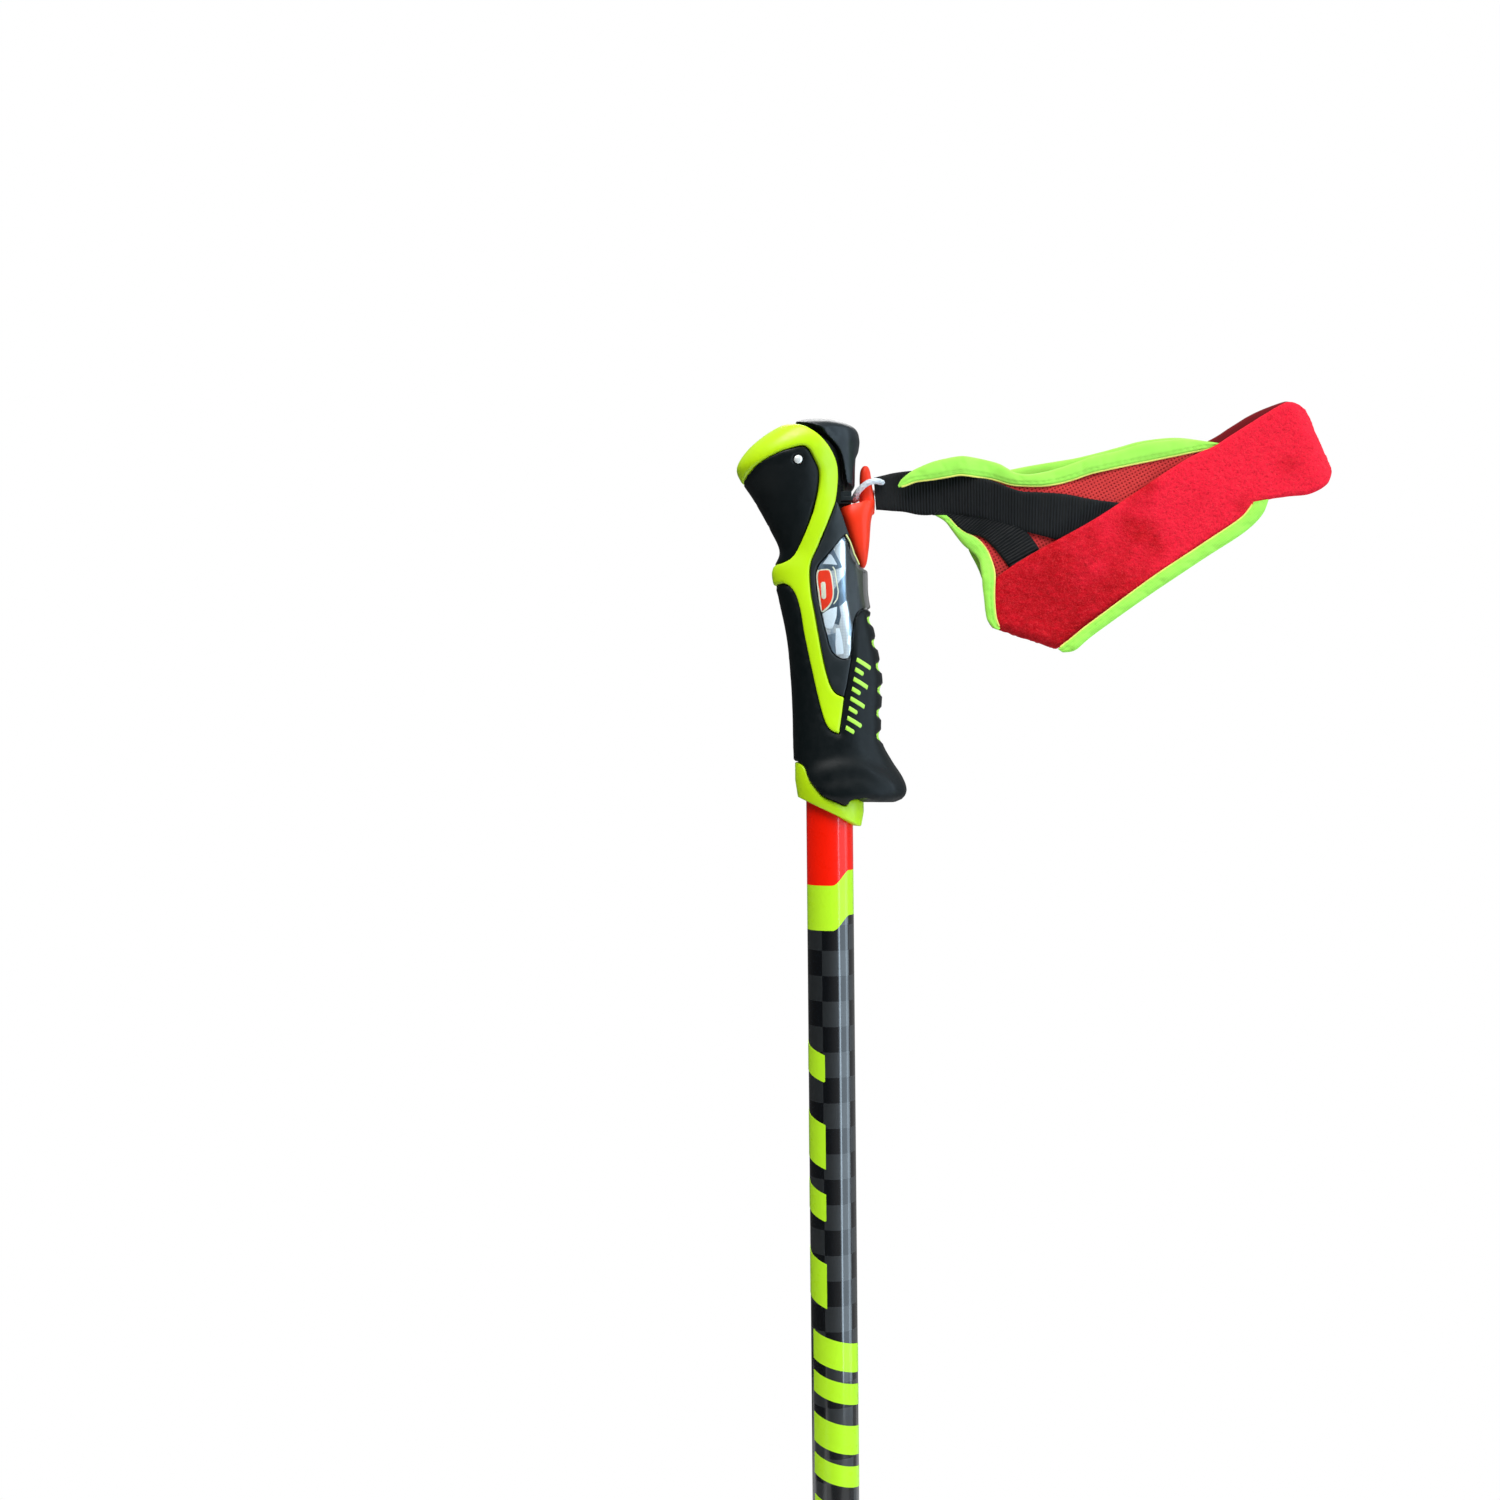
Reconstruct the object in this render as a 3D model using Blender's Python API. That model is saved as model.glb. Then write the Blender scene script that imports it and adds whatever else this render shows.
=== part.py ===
"""Alpine ski pole with a release grip and a wrist strap.

The pole stands upright: +Z runs up the shaft, -X is the finger side of the
grip and +X the palm side, where the strap leaves.  The origin lies on the
shaft's axis at the middle of the hand grip.  Every length below is in
millimetres and is turned into metres when a mesh is made.
"""
import math

import bmesh
import bpy
import numpy as np
from mathutils import Vector, geometry

MM = 0.001

# Overall sizes
TOP_Z = 92.0
POLE_LENGTH = 1200.0
TIP_Z = TOP_Z - POLE_LENGTH
GAP = 0.3

# Shaft
SHAFT_RADIUS = 9.0
SHAFT_END_RADIUS = 5.5
SHAFT_WALL = 1.0
SHAFT_TOP_Z = 30.0
SHAFT_TAPER_Z = -560.0
SHAFT_BOTTOM_Z = TIP_Z + 70.0
PLUG_LENGTH = 18.0

# Grip skin
SKIN = 2.2
CORE_CLEARANCE = 1.8
ROUNDNESS = 2.3
DOMAIN_RADIUS = 16.0
CORE_REAR_X = 17.0
CORE_BOTTOM_Z = -38.6
SLEEVE_STEP_TOP_Z = -43.0
SLEEVE_STEP_BOTTOM_Z = -47.0
BAND_FRONT_Z = 28.7
PANEL_FRONT_TOP_Z = 67.4
PANEL_FRONT_BOTTOM_Z = 36.2
PAD_REAR_TOP_Z = 19.0
FLARE_REAR_BOTTOM_Z = -54.6
COLLAR_RADIUS = 13.2
SKIN_GRID = 4.5
WINDOW_GRID = 3.5

# Release button
BUTTON_PIN = (-11.5, 74.0)
BUTTON_PIN_RADIUS = 1.6
BUTTON_PIN_HALF = 19.4
BUTTON_ARM_HALF = 3.2
BUTTON_SPRING_RADIUS = 2.6

# Strap latch
LATCH_FRONT_X = 4.6
LATCH_SPINE = 1.5
LATCH_REAR_X = 9.4
LATCH_HALF = 7.5
LATCH_BOTTOM_Z = 60.4
LATCH_TOP_Z = 63.2
LATCH_LUG = 1.2

# Hook
HOOK_PIN = (6.8, 41.0)
HOOK_PIN_RADIUS = 1.3
HOOK_PIN_HALF = 8.4
HOOK_STEM_HALF = 2.9
HOOK_STEM_RADIUS = 3.1
HOOK_SPRING_RADIUS = 2.2
HORN_AXIS_X = 15.6

# Strap
CORD_RADIUS = 1.35
PLY = 1.2
TONGUE_HALF = 1.35
NECK_INNER = TONGUE_HALF + GAP
STRAP_PIVOT = (30.3, 64.5)
NECK_END_RADIUS = 9.2
WRIST_HALF = 7.6
WALL = 1.5
BINDING = 2.4
BAND_WALL = 1.8
STRAP_GRID = 7.0

# Tip and basket
BASKET_RADIUS = 25.0
BASKET_Z = TIP_Z + 52.0
BASKET_SEAT = 2.6
FERRULE_RADIUS = 8.2
CARBIDE_RADIUS = 2.4

# Side view of the grip, bottom to top: height, finger side, palm side, half width
GRIP_STATIONS = [
    (-57.0, -12.5, 23.0, 13.4),
    (-54.0, -13.0, 28.2, 16.2),
    (-50.8, -13.3, 29.8, 16.8),
    (-46.0, -13.6, 28.4, 15.8),
    (-39.0, -13.7, 24.0, 14.0),
    (-32.0, -14.2, 20.6, 13.5),
    (-20.0, -14.4, 20.4, 13.3),
    (-8.0, -14.9, 20.9, 13.7),
    (8.0, -16.3, 18.4, 13.9),
    (24.0, -19.4, 15.5, 13.2),
    (33.5, -21.5, 15.2, 12.7),
    (41.5, -18.6, 14.5, 12.9),
    (50.0, -22.0, 13.6, 13.8),
    (62.0, -28.5, 12.0, 16.0),
    (70.0, -33.6, 12.1, 18.5),
    (74.0, -34.7, 12.2, 20.0),
    (79.5, -31.4, 12.6, 21.0),
    (84.5, -25.8, 13.0, 20.4),
    (88.5, -19.2, 11.0, 18.0),
    (91.0, -12.2, 3.8, 11.5),
    (TOP_Z, -7.5, -1.0, 4.5),
]

# Colour (linear RGB), roughness, metallic
LOOKS = {
    "lime": ((0.55, 0.85, 0.01), 0.38, 0.0),
    "soft_black": ((0.016, 0.020, 0.022), 0.62, 0.0),
    "dark_plastic": ((0.030, 0.038, 0.044), 0.34, 0.0),
    "core_black": ((0.010, 0.011, 0.012), 0.70, 0.0),
    "signal_red": ((0.95, 0.030, 0.008), 0.32, 0.0),
    "steel": ((0.62, 0.63, 0.64), 0.28, 1.0),
    "carbon": ((0.010, 0.016, 0.020), 0.22, 0.2),
    "clear": ((0.60, 0.64, 0.66), 0.08, 0.0),
    "foil": ((0.36, 0.40, 0.43), 0.20, 0.7),
    "cord_white": ((0.80, 0.84, 0.86), 0.70, 0.0),
    "webbing_black": ((0.006, 0.008, 0.008), 0.85, 0.0),
    "mesh_red": ((0.55, 0.035, 0.022), 0.85, 0.0),
    "band_red": ((0.62, 0.010, 0.020), 0.95, 0.0),
    "binding_lime": ((0.34, 0.80, 0.09), 0.80, 0.0),
    "carbide": ((0.30, 0.31, 0.33), 0.40, 1.0),
}


# ---------------------------------------------------------------- scene

def clear_scene():
    for old in list(bpy.data.objects):
        bpy.data.objects.remove(old, do_unlink=True)


def material(look):
    existing = bpy.data.materials.get(look)
    if existing:
        return existing
    colour, roughness, metallic = LOOKS[look]
    made = bpy.data.materials.new(look)
    made.use_nodes = True
    shader = made.node_tree.nodes["Principled BSDF"]
    shader.inputs["Base Color"].default_value = (*colour, 1.0)
    shader.inputs["Roughness"].default_value = roughness
    shader.inputs["Metallic"].default_value = metallic
    return made


def pivot_empty(name, x, y, z, parent=None):
    """An empty on a joint's axis, which carries that body's pieces."""
    empty = bpy.data.objects.new(name, None)
    bpy.context.scene.collection.objects.link(empty)
    empty.empty_display_size = 0.01
    empty.location = Vector((x, y, z)) * MM
    if parent:
        empty.parent = parent
        empty.location -= parent.matrix_world.translation
    bpy.context.view_layer.update()
    return empty


def add_solid(name, points, faces, look, body=None, smooth_angle=35):
    """Make one closed, outward-facing solid from millimetre points."""
    origin = body.matrix_world.translation if body else Vector((0, 0, 0))
    mesh = bpy.data.meshes.new(name)
    mesh.from_pydata([Vector(p) * MM - origin for p in points], [], faces)
    work = bmesh.new()
    work.from_mesh(mesh)
    bmesh.ops.remove_doubles(work, verts=work.verts, dist=1e-7)
    bmesh.ops.recalc_face_normals(work, faces=work.faces)
    work.to_mesh(mesh)
    work.free()
    mesh.materials.append(material(look))
    mesh.shade_smooth()
    mesh.set_sharp_from_angle(angle=math.radians(smooth_angle))
    solid = bpy.data.objects.new(name, mesh)
    bpy.context.scene.collection.objects.link(solid)
    solid.parent = body
    return solid


def cutter(name, points, faces, body=None):
    tool = add_solid(name, points, faces, "core_black", body)
    tool.hide_render = True
    tool.display_type = "WIRE"
    return tool


def combine(target, tool, operation):
    step = target.modifiers.new(operation.title() + " " + tool.name, "BOOLEAN")
    step.operation = operation
    step.solver = "EXACT"
    step.object = tool
    tool.hide_render = True
    tool.display_type = "WIRE"


# ---------------------------------------------------------------- curves

def smooth_through(points, steps, closed=False):
    """Catmull-Rom curve through hand-set points, with steps per span."""
    count = len(points)
    rows = np.array(points, dtype=float)
    result = []
    spans = count if closed else count - 1
    for i in range(spans):
        if closed:
            a, b, c, d = (rows[(i + k) % count] for k in (-1, 0, 1, 2))
        else:
            a, b, c, d = (rows[min(max(i + k, 0), count - 1)] for k in (-1, 0, 1, 2))
        for j in range(steps):
            t = j / steps
            result.append(0.5 * (2 * b + (c - a) * t + (2 * a - 5 * b + 4 * c - d) * t ** 2
                                 + (3 * b - a - 3 * c + d) * t ** 3))
    if not closed:
        result.append(rows[-1])
    return result


def arc(centre, radius, start, end, steps):
    """Points on an arc in the side view, angles in degrees from +X towards +Z."""
    angles = [math.radians(start + (end - start) * i / steps) for i in range(steps + 1)]
    return [(centre[0] + radius * math.cos(a), centre[1] + radius * math.sin(a)) for a in angles]


def station_value(stations, height):
    """Smooth values between the rows of a station table, by the first column."""
    heights = [row[0] for row in stations]
    height = min(max(height, heights[0]), heights[-1])
    i = min(max(int(np.searchsorted(heights, height)) - 1, 0), len(stations) - 2)
    lower, upper = np.array(stations[i]), np.array(stations[i + 1])
    before = np.array(stations[max(i - 1, 0)])
    after = np.array(stations[min(i + 2, len(stations) - 1)])
    span = upper[0] - lower[0]
    t = (height - lower[0]) / span
    slope_low = (upper - before) / (upper[0] - before[0]) * span
    slope_high = (after - lower) / (after[0] - lower[0]) * span
    value = ((2 * t ** 3 - 3 * t ** 2 + 1) * lower + (t ** 3 - 2 * t ** 2 + t) * slope_low
             + (3 * t ** 2 - 2 * t ** 3) * upper + (t ** 3 - t ** 2) * slope_high)
    return value[1:]


# ---------------------------------------------------------------- solids

def prism(outline, half_width):
    """Side-view outline (x, z) extruded both ways along Y."""
    count = len(outline)
    points = [(x, side * half_width, z) for side in (-1, 1) for x, z in outline]
    faces = [list(range(count)), list(range(count, 2 * count))[::-1]]
    for i in range(count):
        j = (i + 1) % count
        faces.append([i, j, count + j, count + i])
    return points, faces


def loft(rings):
    """Skin rings of equal length into a closed body with flat ends."""
    count = len(rings[0])
    points = [p for ring in rings for p in ring]
    faces = [list(range(count))[::-1], list(range(len(points) - count, len(points)))]
    for r in range(len(rings) - 1):
        for i in range(count):
            j = (i + 1) % count
            faces.append([r * count + i, r * count + j, (r + 1) * count + j, (r + 1) * count + i])
    return points, faces


def turned(profile, sides):
    """Body of revolution about the Z axis from a closed (radius, z) profile."""
    points = []
    faces = []
    count = len(profile)
    for s in range(sides):
        angle = 2 * math.pi * s / sides
        points += [(r * math.cos(angle), r * math.sin(angle), z) for r, z in profile]
    for s in range(sides):
        t = (s + 1) % sides
        for i in range(count):
            j = (i + 1) % count
            faces.append([s * count + i, t * count + i, t * count + j, s * count + j])
    return points, faces


def turned_solid(profile, sides):
    """Solid of revolution about the Z axis from (radius, z) rows, bottom to top."""
    turns = [2 * math.pi * k / sides for k in range(sides)]
    return loft([[(r * math.cos(a), r * math.sin(a), z) for a in turns] for r, z in profile])


def rod_y(centre, radius, half_length, sides=20):
    """Round bar along Y."""
    return prism(arc(centre, radius, 0, 360 * (sides - 1) / sides, sides - 1), half_length)


def tube_along(path, radius, sides=8):
    """Round cord along an open path."""
    rings = []
    side_axis = None
    for i, point in enumerate(path):
        ahead = Vector(path[min(i + 1, len(path) - 1)]) - Vector(path[max(i - 1, 0)])
        ahead.normalize()
        if side_axis is None:
            side_axis = ahead.orthogonal().normalized()
        side_axis = (side_axis - ahead * side_axis.dot(ahead)).normalized()
        up = ahead.cross(side_axis)
        centre = Vector(point)
        turn = [2 * math.pi * k / sides for k in range(sides)]
        rings.append([tuple(centre + (side_axis * math.cos(a) + up * math.sin(a)) * radius) for a in turn])
    return loft(rings)


def torsion_coil(centre, y_start, pitch, turns, coil_radius, wire_radius, leg):
    """Torsion spring round a Y axis with one straight leg."""
    steps = 14
    path = []
    for i in range(int(turns * steps) + 1):
        angle = 2 * math.pi * i / steps
        path.append((centre[0] + coil_radius * math.cos(angle),
                     y_start + pitch * i / steps,
                     centre[1] + coil_radius * math.sin(angle)))
    last = path[-1]
    path.append((last[0] + leg[0], last[1], last[2] + leg[1]))
    return tube_along(path, wire_radius, 6)


def inside(rings, points):
    """Even-odd test of points against closed rings."""
    hit = np.zeros(len(points), dtype=bool)
    x, y = points[:, 0], points[:, 1]
    for ring in rings:
        ring = np.asarray(ring)
        for (x0, y0), (x1, y1) in zip(ring, np.roll(ring, -1, axis=0)):
            if y0 == y1:
                continue
            crosses = (y0 > y) != (y1 > y)
            hit ^= crosses & (x < x0 + (y - y0) * (x1 - x0) / (y1 - y0))
    return hit


def border_distance(rings, points):
    """Shortest distance from each point to the rings' edges."""
    nearest = np.full(len(points), np.inf)
    for ring in rings:
        starts = np.asarray(ring, dtype=float)
        for a, b in zip(starts, np.roll(starts, -1, axis=0)):
            along = b - a
            share = np.clip((points - a) @ along / max(along @ along, 1e-12), 0.0, 1.0)
            nearest = np.minimum(nearest, np.linalg.norm(points - a - np.outer(share, along), axis=1))
    return nearest


def filled(rings, spacing):
    """Triangulate the area inside the rings with evenly spread inner points."""
    edge_points = np.array([p for ring in rings for p in ring], dtype=float)
    low, high = edge_points.min(axis=0), edge_points.max(axis=0)
    row_gap = spacing * 0.866
    grid = []
    for r in range(int((high[1] - low[1]) / row_gap) + 1):
        shift = spacing / 2 if r % 2 else 0.0
        for c in range(int((high[0] - low[0]) / spacing) + 1):
            grid.append((low[0] + shift + c * spacing, low[1] + (r + 0.5) * row_gap))
    grid = np.array(grid)
    grid = grid[inside(rings, grid)]
    grid = grid[border_distance(rings, grid) > spacing * 0.5]
    points = [Vector(p) for p in edge_points] + [Vector(p) for p in grid]
    edges = []
    start = 0
    for ring in rings:
        edges += [(start + i, start + (i + 1) % len(ring)) for i in range(len(ring))]
        start += len(ring)
    made, _, triangles, *_ = geometry.delaunay_2d_cdt(points, edges, [], 0, 1e-7)
    made = np.array([tuple(p) for p in made])
    corners = np.array([made[list(t)] for t in triangles])
    side_a, side_b = corners[:, 1] - corners[:, 0], corners[:, 2] - corners[:, 0]
    area = np.abs(side_a[:, 0] * side_b[:, 1] - side_a[:, 1] * side_b[:, 0])
    keep = inside(rings, corners.mean(axis=1)) & (area > 1e-3)
    return made, [list(t) for t, good in zip(triangles, keep) if good]


def sheet_solid(flat, triangles, outer, inner, merge=None):
    """Thicken a triangulated flat area between two placed surfaces."""
    index = list(range(len(flat))) if merge is None else merge
    count = len(flat)
    points = [outer(*p) for p in flat] + [inner(*p) for p in flat]
    triangles = [[index[i] for i in t] for t in triangles]
    faces = [t for t in triangles] + [[count + i for i in reversed(t)] for t in triangles]
    border = {}
    for t in triangles:
        for a, b in zip(t, t[1:] + t[:1]):
            if (b, a) in border:
                del border[(b, a)]
            else:
                border[(a, b)] = True
    faces += [[b, a, count + a, count + b] for a, b in border]
    used = sorted({i for f in faces for i in f})
    new_index = {old: new for new, old in enumerate(used)}
    return [points[i] for i in used], [[new_index[i] for i in f] for f in faces]


def inset(ring, distance):
    """Move a closed flat ring inwards by a small distance."""
    ring = np.asarray(ring, dtype=float)
    area = np.sum(ring[:, 0] * np.roll(ring[:, 1], -1) - np.roll(ring[:, 0], -1) * ring[:, 1])
    ahead = np.roll(ring, -1, axis=0) - np.roll(ring, 1, axis=0)
    ahead /= np.maximum(np.linalg.norm(ahead, axis=1, keepdims=True), 1e-9)
    normal = np.stack([-ahead[:, 1], ahead[:, 0]], axis=1) * math.copysign(1.0, area)
    return ring + normal * distance


# ---------------------------------------------------------------- grip surface

def grip_place(angle, height, depth):
    """Point on the grip's outer surface, sunk by depth; angle runs from the finger side."""
    front, rear, half = station_value(GRIP_STATIONS, height)
    centre = (front + rear) / 2
    long_axis = max((rear - front) / 2 - depth, 0.5)
    wide_axis = max(half - depth, 0.5)
    c, s = math.cos(angle), math.sin(angle)
    x = centre - long_axis * math.copysign(abs(c) ** (2 / ROUNDNESS), c)
    y = -wide_axis * math.copysign(abs(s) ** (2 / ROUNDNESS), s)
    lift = min(max((height - 80.0) / 10.0, 0.0), 1.0)
    return x, y, height - depth * lift * lift * (3 - 2 * lift)


def grip_angle(x, height):
    """Angle of the near-side surface point that has this x in the side view."""
    front, rear, _ = station_value(GRIP_STATIONS, height)
    ratio = ((front + rear) / 2 - x) / ((rear - front) / 2)
    ratio = min(max(ratio, -1.0), 1.0)
    return math.acos(math.copysign(abs(ratio) ** (ROUNDNESS / 2), ratio))


def core_place(angle, height):
    """Point on the core under the skin."""
    x, y, z = grip_place(angle, height, SKIN + CORE_CLEARANCE)
    return min(x, CORE_REAR_X), y, z


def flat_side(outline, rear=False):
    """Side-view outline to the unrolled skin, measured from the front or rear seam."""
    flat = []
    for x, z in outline:
        angle = grip_angle(x, z)
        flat.append(((math.pi - angle if rear else angle) * DOMAIN_RADIUS, z))
    return flat


def mirrored(flat):
    """Close a near-side outline over the seam with its far-side copy."""
    return list(flat) + [(-s, z) for s, z in reversed(flat) if s > 1e-6]


def skin_solid(rings, rear, outer_depth, inner_depth, spacing=SKIN_GRID):
    def place(s, z, depth):
        angle = s / DOMAIN_RADIUS
        if rear:
            angle = math.copysign(math.pi, angle) - angle
        return grip_place(angle, z, depth)

    flat, triangles = filled(rings, spacing)
    return sheet_solid(flat, triangles,
                       lambda s, z: place(s, z, outer_depth),
                       lambda s, z: place(s, z, inner_depth))


# ---------------------------------------------------------------- grip outlines (x, z)

FRAME_REAR_EDGE = [
    (-12.2, 88.2), (-8.5, 86.9), (-3.9, 83.6), (-0.2, 79.7), (2.6, 75.4), (3.9, 71.0),
    (3.9, 65.5), (3.0, 59.0), (0.9, 53.4), (-1.4, 48.1), (-4.1, 42.2), (-6.4, 37.5),
    (-7.3, 33.8), (-7.4, 29.0), (-6.9, 23.2), (-5.8, 17.0), (-4.4, 8.5), (-2.6, -1.5),
    (-0.4, -9.7), (2.0, -13.6), (5.5, -15.2),
]
PAD_FRONT_EDGE = [(5.5, -15.2), (4.6, -21.5), (3.5, -29.0)]
FINGER_PANEL_EDGE = [
    (3.5, -29.0), (0.2, -27.9), (-2.3, -24.4), (-4.8, -15.5), (-7.5, -3.0), (-9.9, 9.0),
    (-11.2, 17.5), (-12.7, 23.2), (-14.8, 26.9), (-17.5, 28.6),
]
HEAD_PANEL_EDGE = [
    (-32.6, 68.4), (-27.7, 72.5), (-20.0, 76.3), (-11.2, 78.9), (-7.8, 78.0), (-5.2, 74.3),
    (-3.1, 69.8), (-3.7, 63.0), (-6.2, 54.6), (-9.5, 46.7), (-13.7, 38.9), (-17.8, 36.6),
]
WINDOW_EDGE = [
    (13.9, 34.2), (11.8, 35.6), (9.8, 39.5), (8.2, 44.0), (6.7, 46.6), (4.3, 44.2),
    (-0.3, 39.1), (-3.9, 35.0), (-5.0, 30.6), (-4.4, 23.1), (-3.1, 16.0), (-1.4, 9.2),
    (0.5, 2.6), (3.4, -0.2), (6.6, -0.7), (8.6, 1.6), (9.5, 9.1), (11.0, 15.6), (13.9, 18.7),
]
HOOK_FRONT_EDGE = [(3.7, 58.9), (5.9, 53.4), (7.2, 49.4), (8.6, 45.6)]
PAD_LINE = [(5.7, -14.2), (7.2, -7.0), (8.4, -0.4)]
BADGE_CORNERS = [(-3.4, 32.2), (1.5, 33.6), (3.6, 29.0), (3.9, 20.5), (1.2, 17.4), (-1.6, 15.0)]

BUTTON_OUTLINE = [
    (-11.9, 88.9), (-3.6, 86.4), (-0.8, 83.4), (1.6, 81.3), (4.0, 78.6), (5.5, 75.2),
    (6.4, 70.6), (7.3, 66.3), (9.9, 65.4), (11.9, 67.6), (16.0, 68.0), (16.0, 96.0), (-11.9, 96.0),
]
CORE_REAR_CUT = [
    (-12.6, 99.0), (-12.6, 88.3), (-3.9, 85.6), (-1.3, 82.8), (1.0, 80.7), (3.3, 78.1), (4.7, 75.0),
    (5.5, 70.6), (5.9, 66.0), (2.9, 65.6), (2.9, 59.4), (3.9, 58.8), (4.3, 57.2), (5.5, 54.0),
    (7.4, 48.5), (9.5, 43.0), (11.4, 38.0), (12.6, 34.4), (30.0, 33.0), (30.0, 99.0),
]
ARM_POCKET = [
    (-16.2, 69.6), (-16.2, 78.2), (-8.0, 79.6), (1.0, 80.2), (6.0, 76.0), (6.0, 68.4), (-8.0, 69.0),
]
COLLAR_TOP_EDGE = [
    (-12.9, -39.6), (-10.6, -41.2), (-8.9, -45.2), (-7.0, -48.6), (-3.5, -52.6), (1.0, -54.6),
    (5.6, -56.4), (7.3, -54.3), (13.2, -53.6),
]


def button_arm_outline():
    rounded = arc(BUTTON_PIN, 3.1, 270, 90, 8)
    return rounded + [(-4.0, 78.4), (7.5, 78.0), (7.5, 72.2), (-4.0, 71.4)]


# ---------------------------------------------------------------- grip

def grip_rings(place, heights, sides):
    return [[place(2 * math.pi * i / sides, h) for i in range(sides)] for h in heights]


def build_core():
    heights = [CORE_BOTTOM_Z, -34, -28, -16, 0, 12, 22, 30, 35, 41, 48, 55, 61, 66, 70, 74, 78, 82, 86,
               88.5, 90.3]
    core = add_solid("grip_core", *loft(grip_rings(core_place, heights, 40)), "core_black")
    bore = turned_solid([(SHAFT_RADIUS + GAP, -80.0), (SHAFT_RADIUS + GAP, SHAFT_TOP_Z + GAP)], 32)
    combine(core, cutter("cut_shaft_bore", *bore), "DIFFERENCE")
    combine(core, cutter("cut_rear", *prism(CORE_REAR_CUT, 40.0)), "DIFFERENCE")
    combine(core, cutter("cut_arm_pocket", *prism(ARM_POCKET, BUTTON_ARM_HALF + 2.6)), "DIFFERENCE")
    stem_pocket = arc(HOOK_PIN, HOOK_STEM_RADIUS + 0.8, 150, 300, 8) + [(20.0, 36.0), (20.0, 56.0), (4.4, 47.4)]
    combine(core, cutter("cut_stem_pocket", *prism(stem_pocket, HOOK_STEM_HALF + 2.6)), "DIFFERENCE")
    holes = (("cut_button_pin", BUTTON_PIN, BUTTON_PIN_RADIUS), ("cut_hook_pin", HOOK_PIN, HOOK_PIN_RADIUS))
    for name, centre, radius in holes:
        combine(core, cutter(name, *rod_y(centre, radius + GAP, 40.0)), "DIFFERENCE")
    return core


def build_frame():
    outer = flat_side([(-40.0, 90.6)] + FRAME_REAR_EDGE + PAD_FRONT_EDGE[1:-1]
                      + FINGER_PANEL_EDGE + [(-40.0, BAND_FRONT_Z)])
    window = flat_side([(-40.0, PANEL_FRONT_TOP_Z)] + HEAD_PANEL_EDGE + [(-40.0, PANEL_FRONT_BOTTOM_Z)])
    rings = [inset(mirrored(outer), GAP / 2), inset(mirrored(window), -GAP / 2)]
    add_solid("grip_frame", *skin_solid(rings, False, 0.0, SKIN), "lime")


def build_head_panel():
    edge = flat_side([(-40.0, PANEL_FRONT_TOP_Z)] + HEAD_PANEL_EDGE + [(-40.0, PANEL_FRONT_BOTTOM_Z)])
    rings = [inset(mirrored(edge), GAP / 2 + 0.05)]
    hole = arc(BUTTON_PIN, BUTTON_PIN_RADIUS + 0.4, 0, 330, 11)
    for side in (1, -1):
        rings.append([(s * side, z) for s, z in flat_side(hole)])
    add_solid("grip_head_panel", *skin_solid(rings, False, 0.15, SKIN), "soft_black")


def build_bezels():
    edge = flat_side(HOOK_FRONT_EDGE + WINDOW_EDGE[4:16] + PAD_LINE[::-1]
                     + FRAME_REAR_EDGE[7:20][::-1])
    ring = inset(edge, GAP / 2 + 0.05)
    for side, name in ((1, "bezel_left"), (-1, "bezel_right")):
        rings = [[(s * side, z) for s, z in ring]]
        add_solid(name, *skin_solid(rings, False, 0.1, SKIN), "dark_plastic")


def build_window():
    edge = flat_side([(40.0, 33.9)] + WINDOW_EDGE + [(40.0, PAD_REAR_TOP_Z + 0.4)], rear=True)
    full = inset(mirrored(edge), GAP / 2 + 0.05)
    add_solid("window_shell", *skin_solid([full], True, -0.3, 0.4, WINDOW_GRID), "clear")
    add_solid("window_inlay", *skin_solid([inset(full, 0.1)], True, 1.7, SKIN, WINDOW_GRID), "foil")
    badge = inset(flat_side(BADGE_CORNERS, rear=True), 0.2)
    for side, name in ((1, "badge_left"), (-1, "badge_right")):
        rings = [[(s * side, z) for s, z in badge]]
        add_solid(name, *skin_solid(rings, True, 0.85, 1.25), "signal_red")


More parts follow.
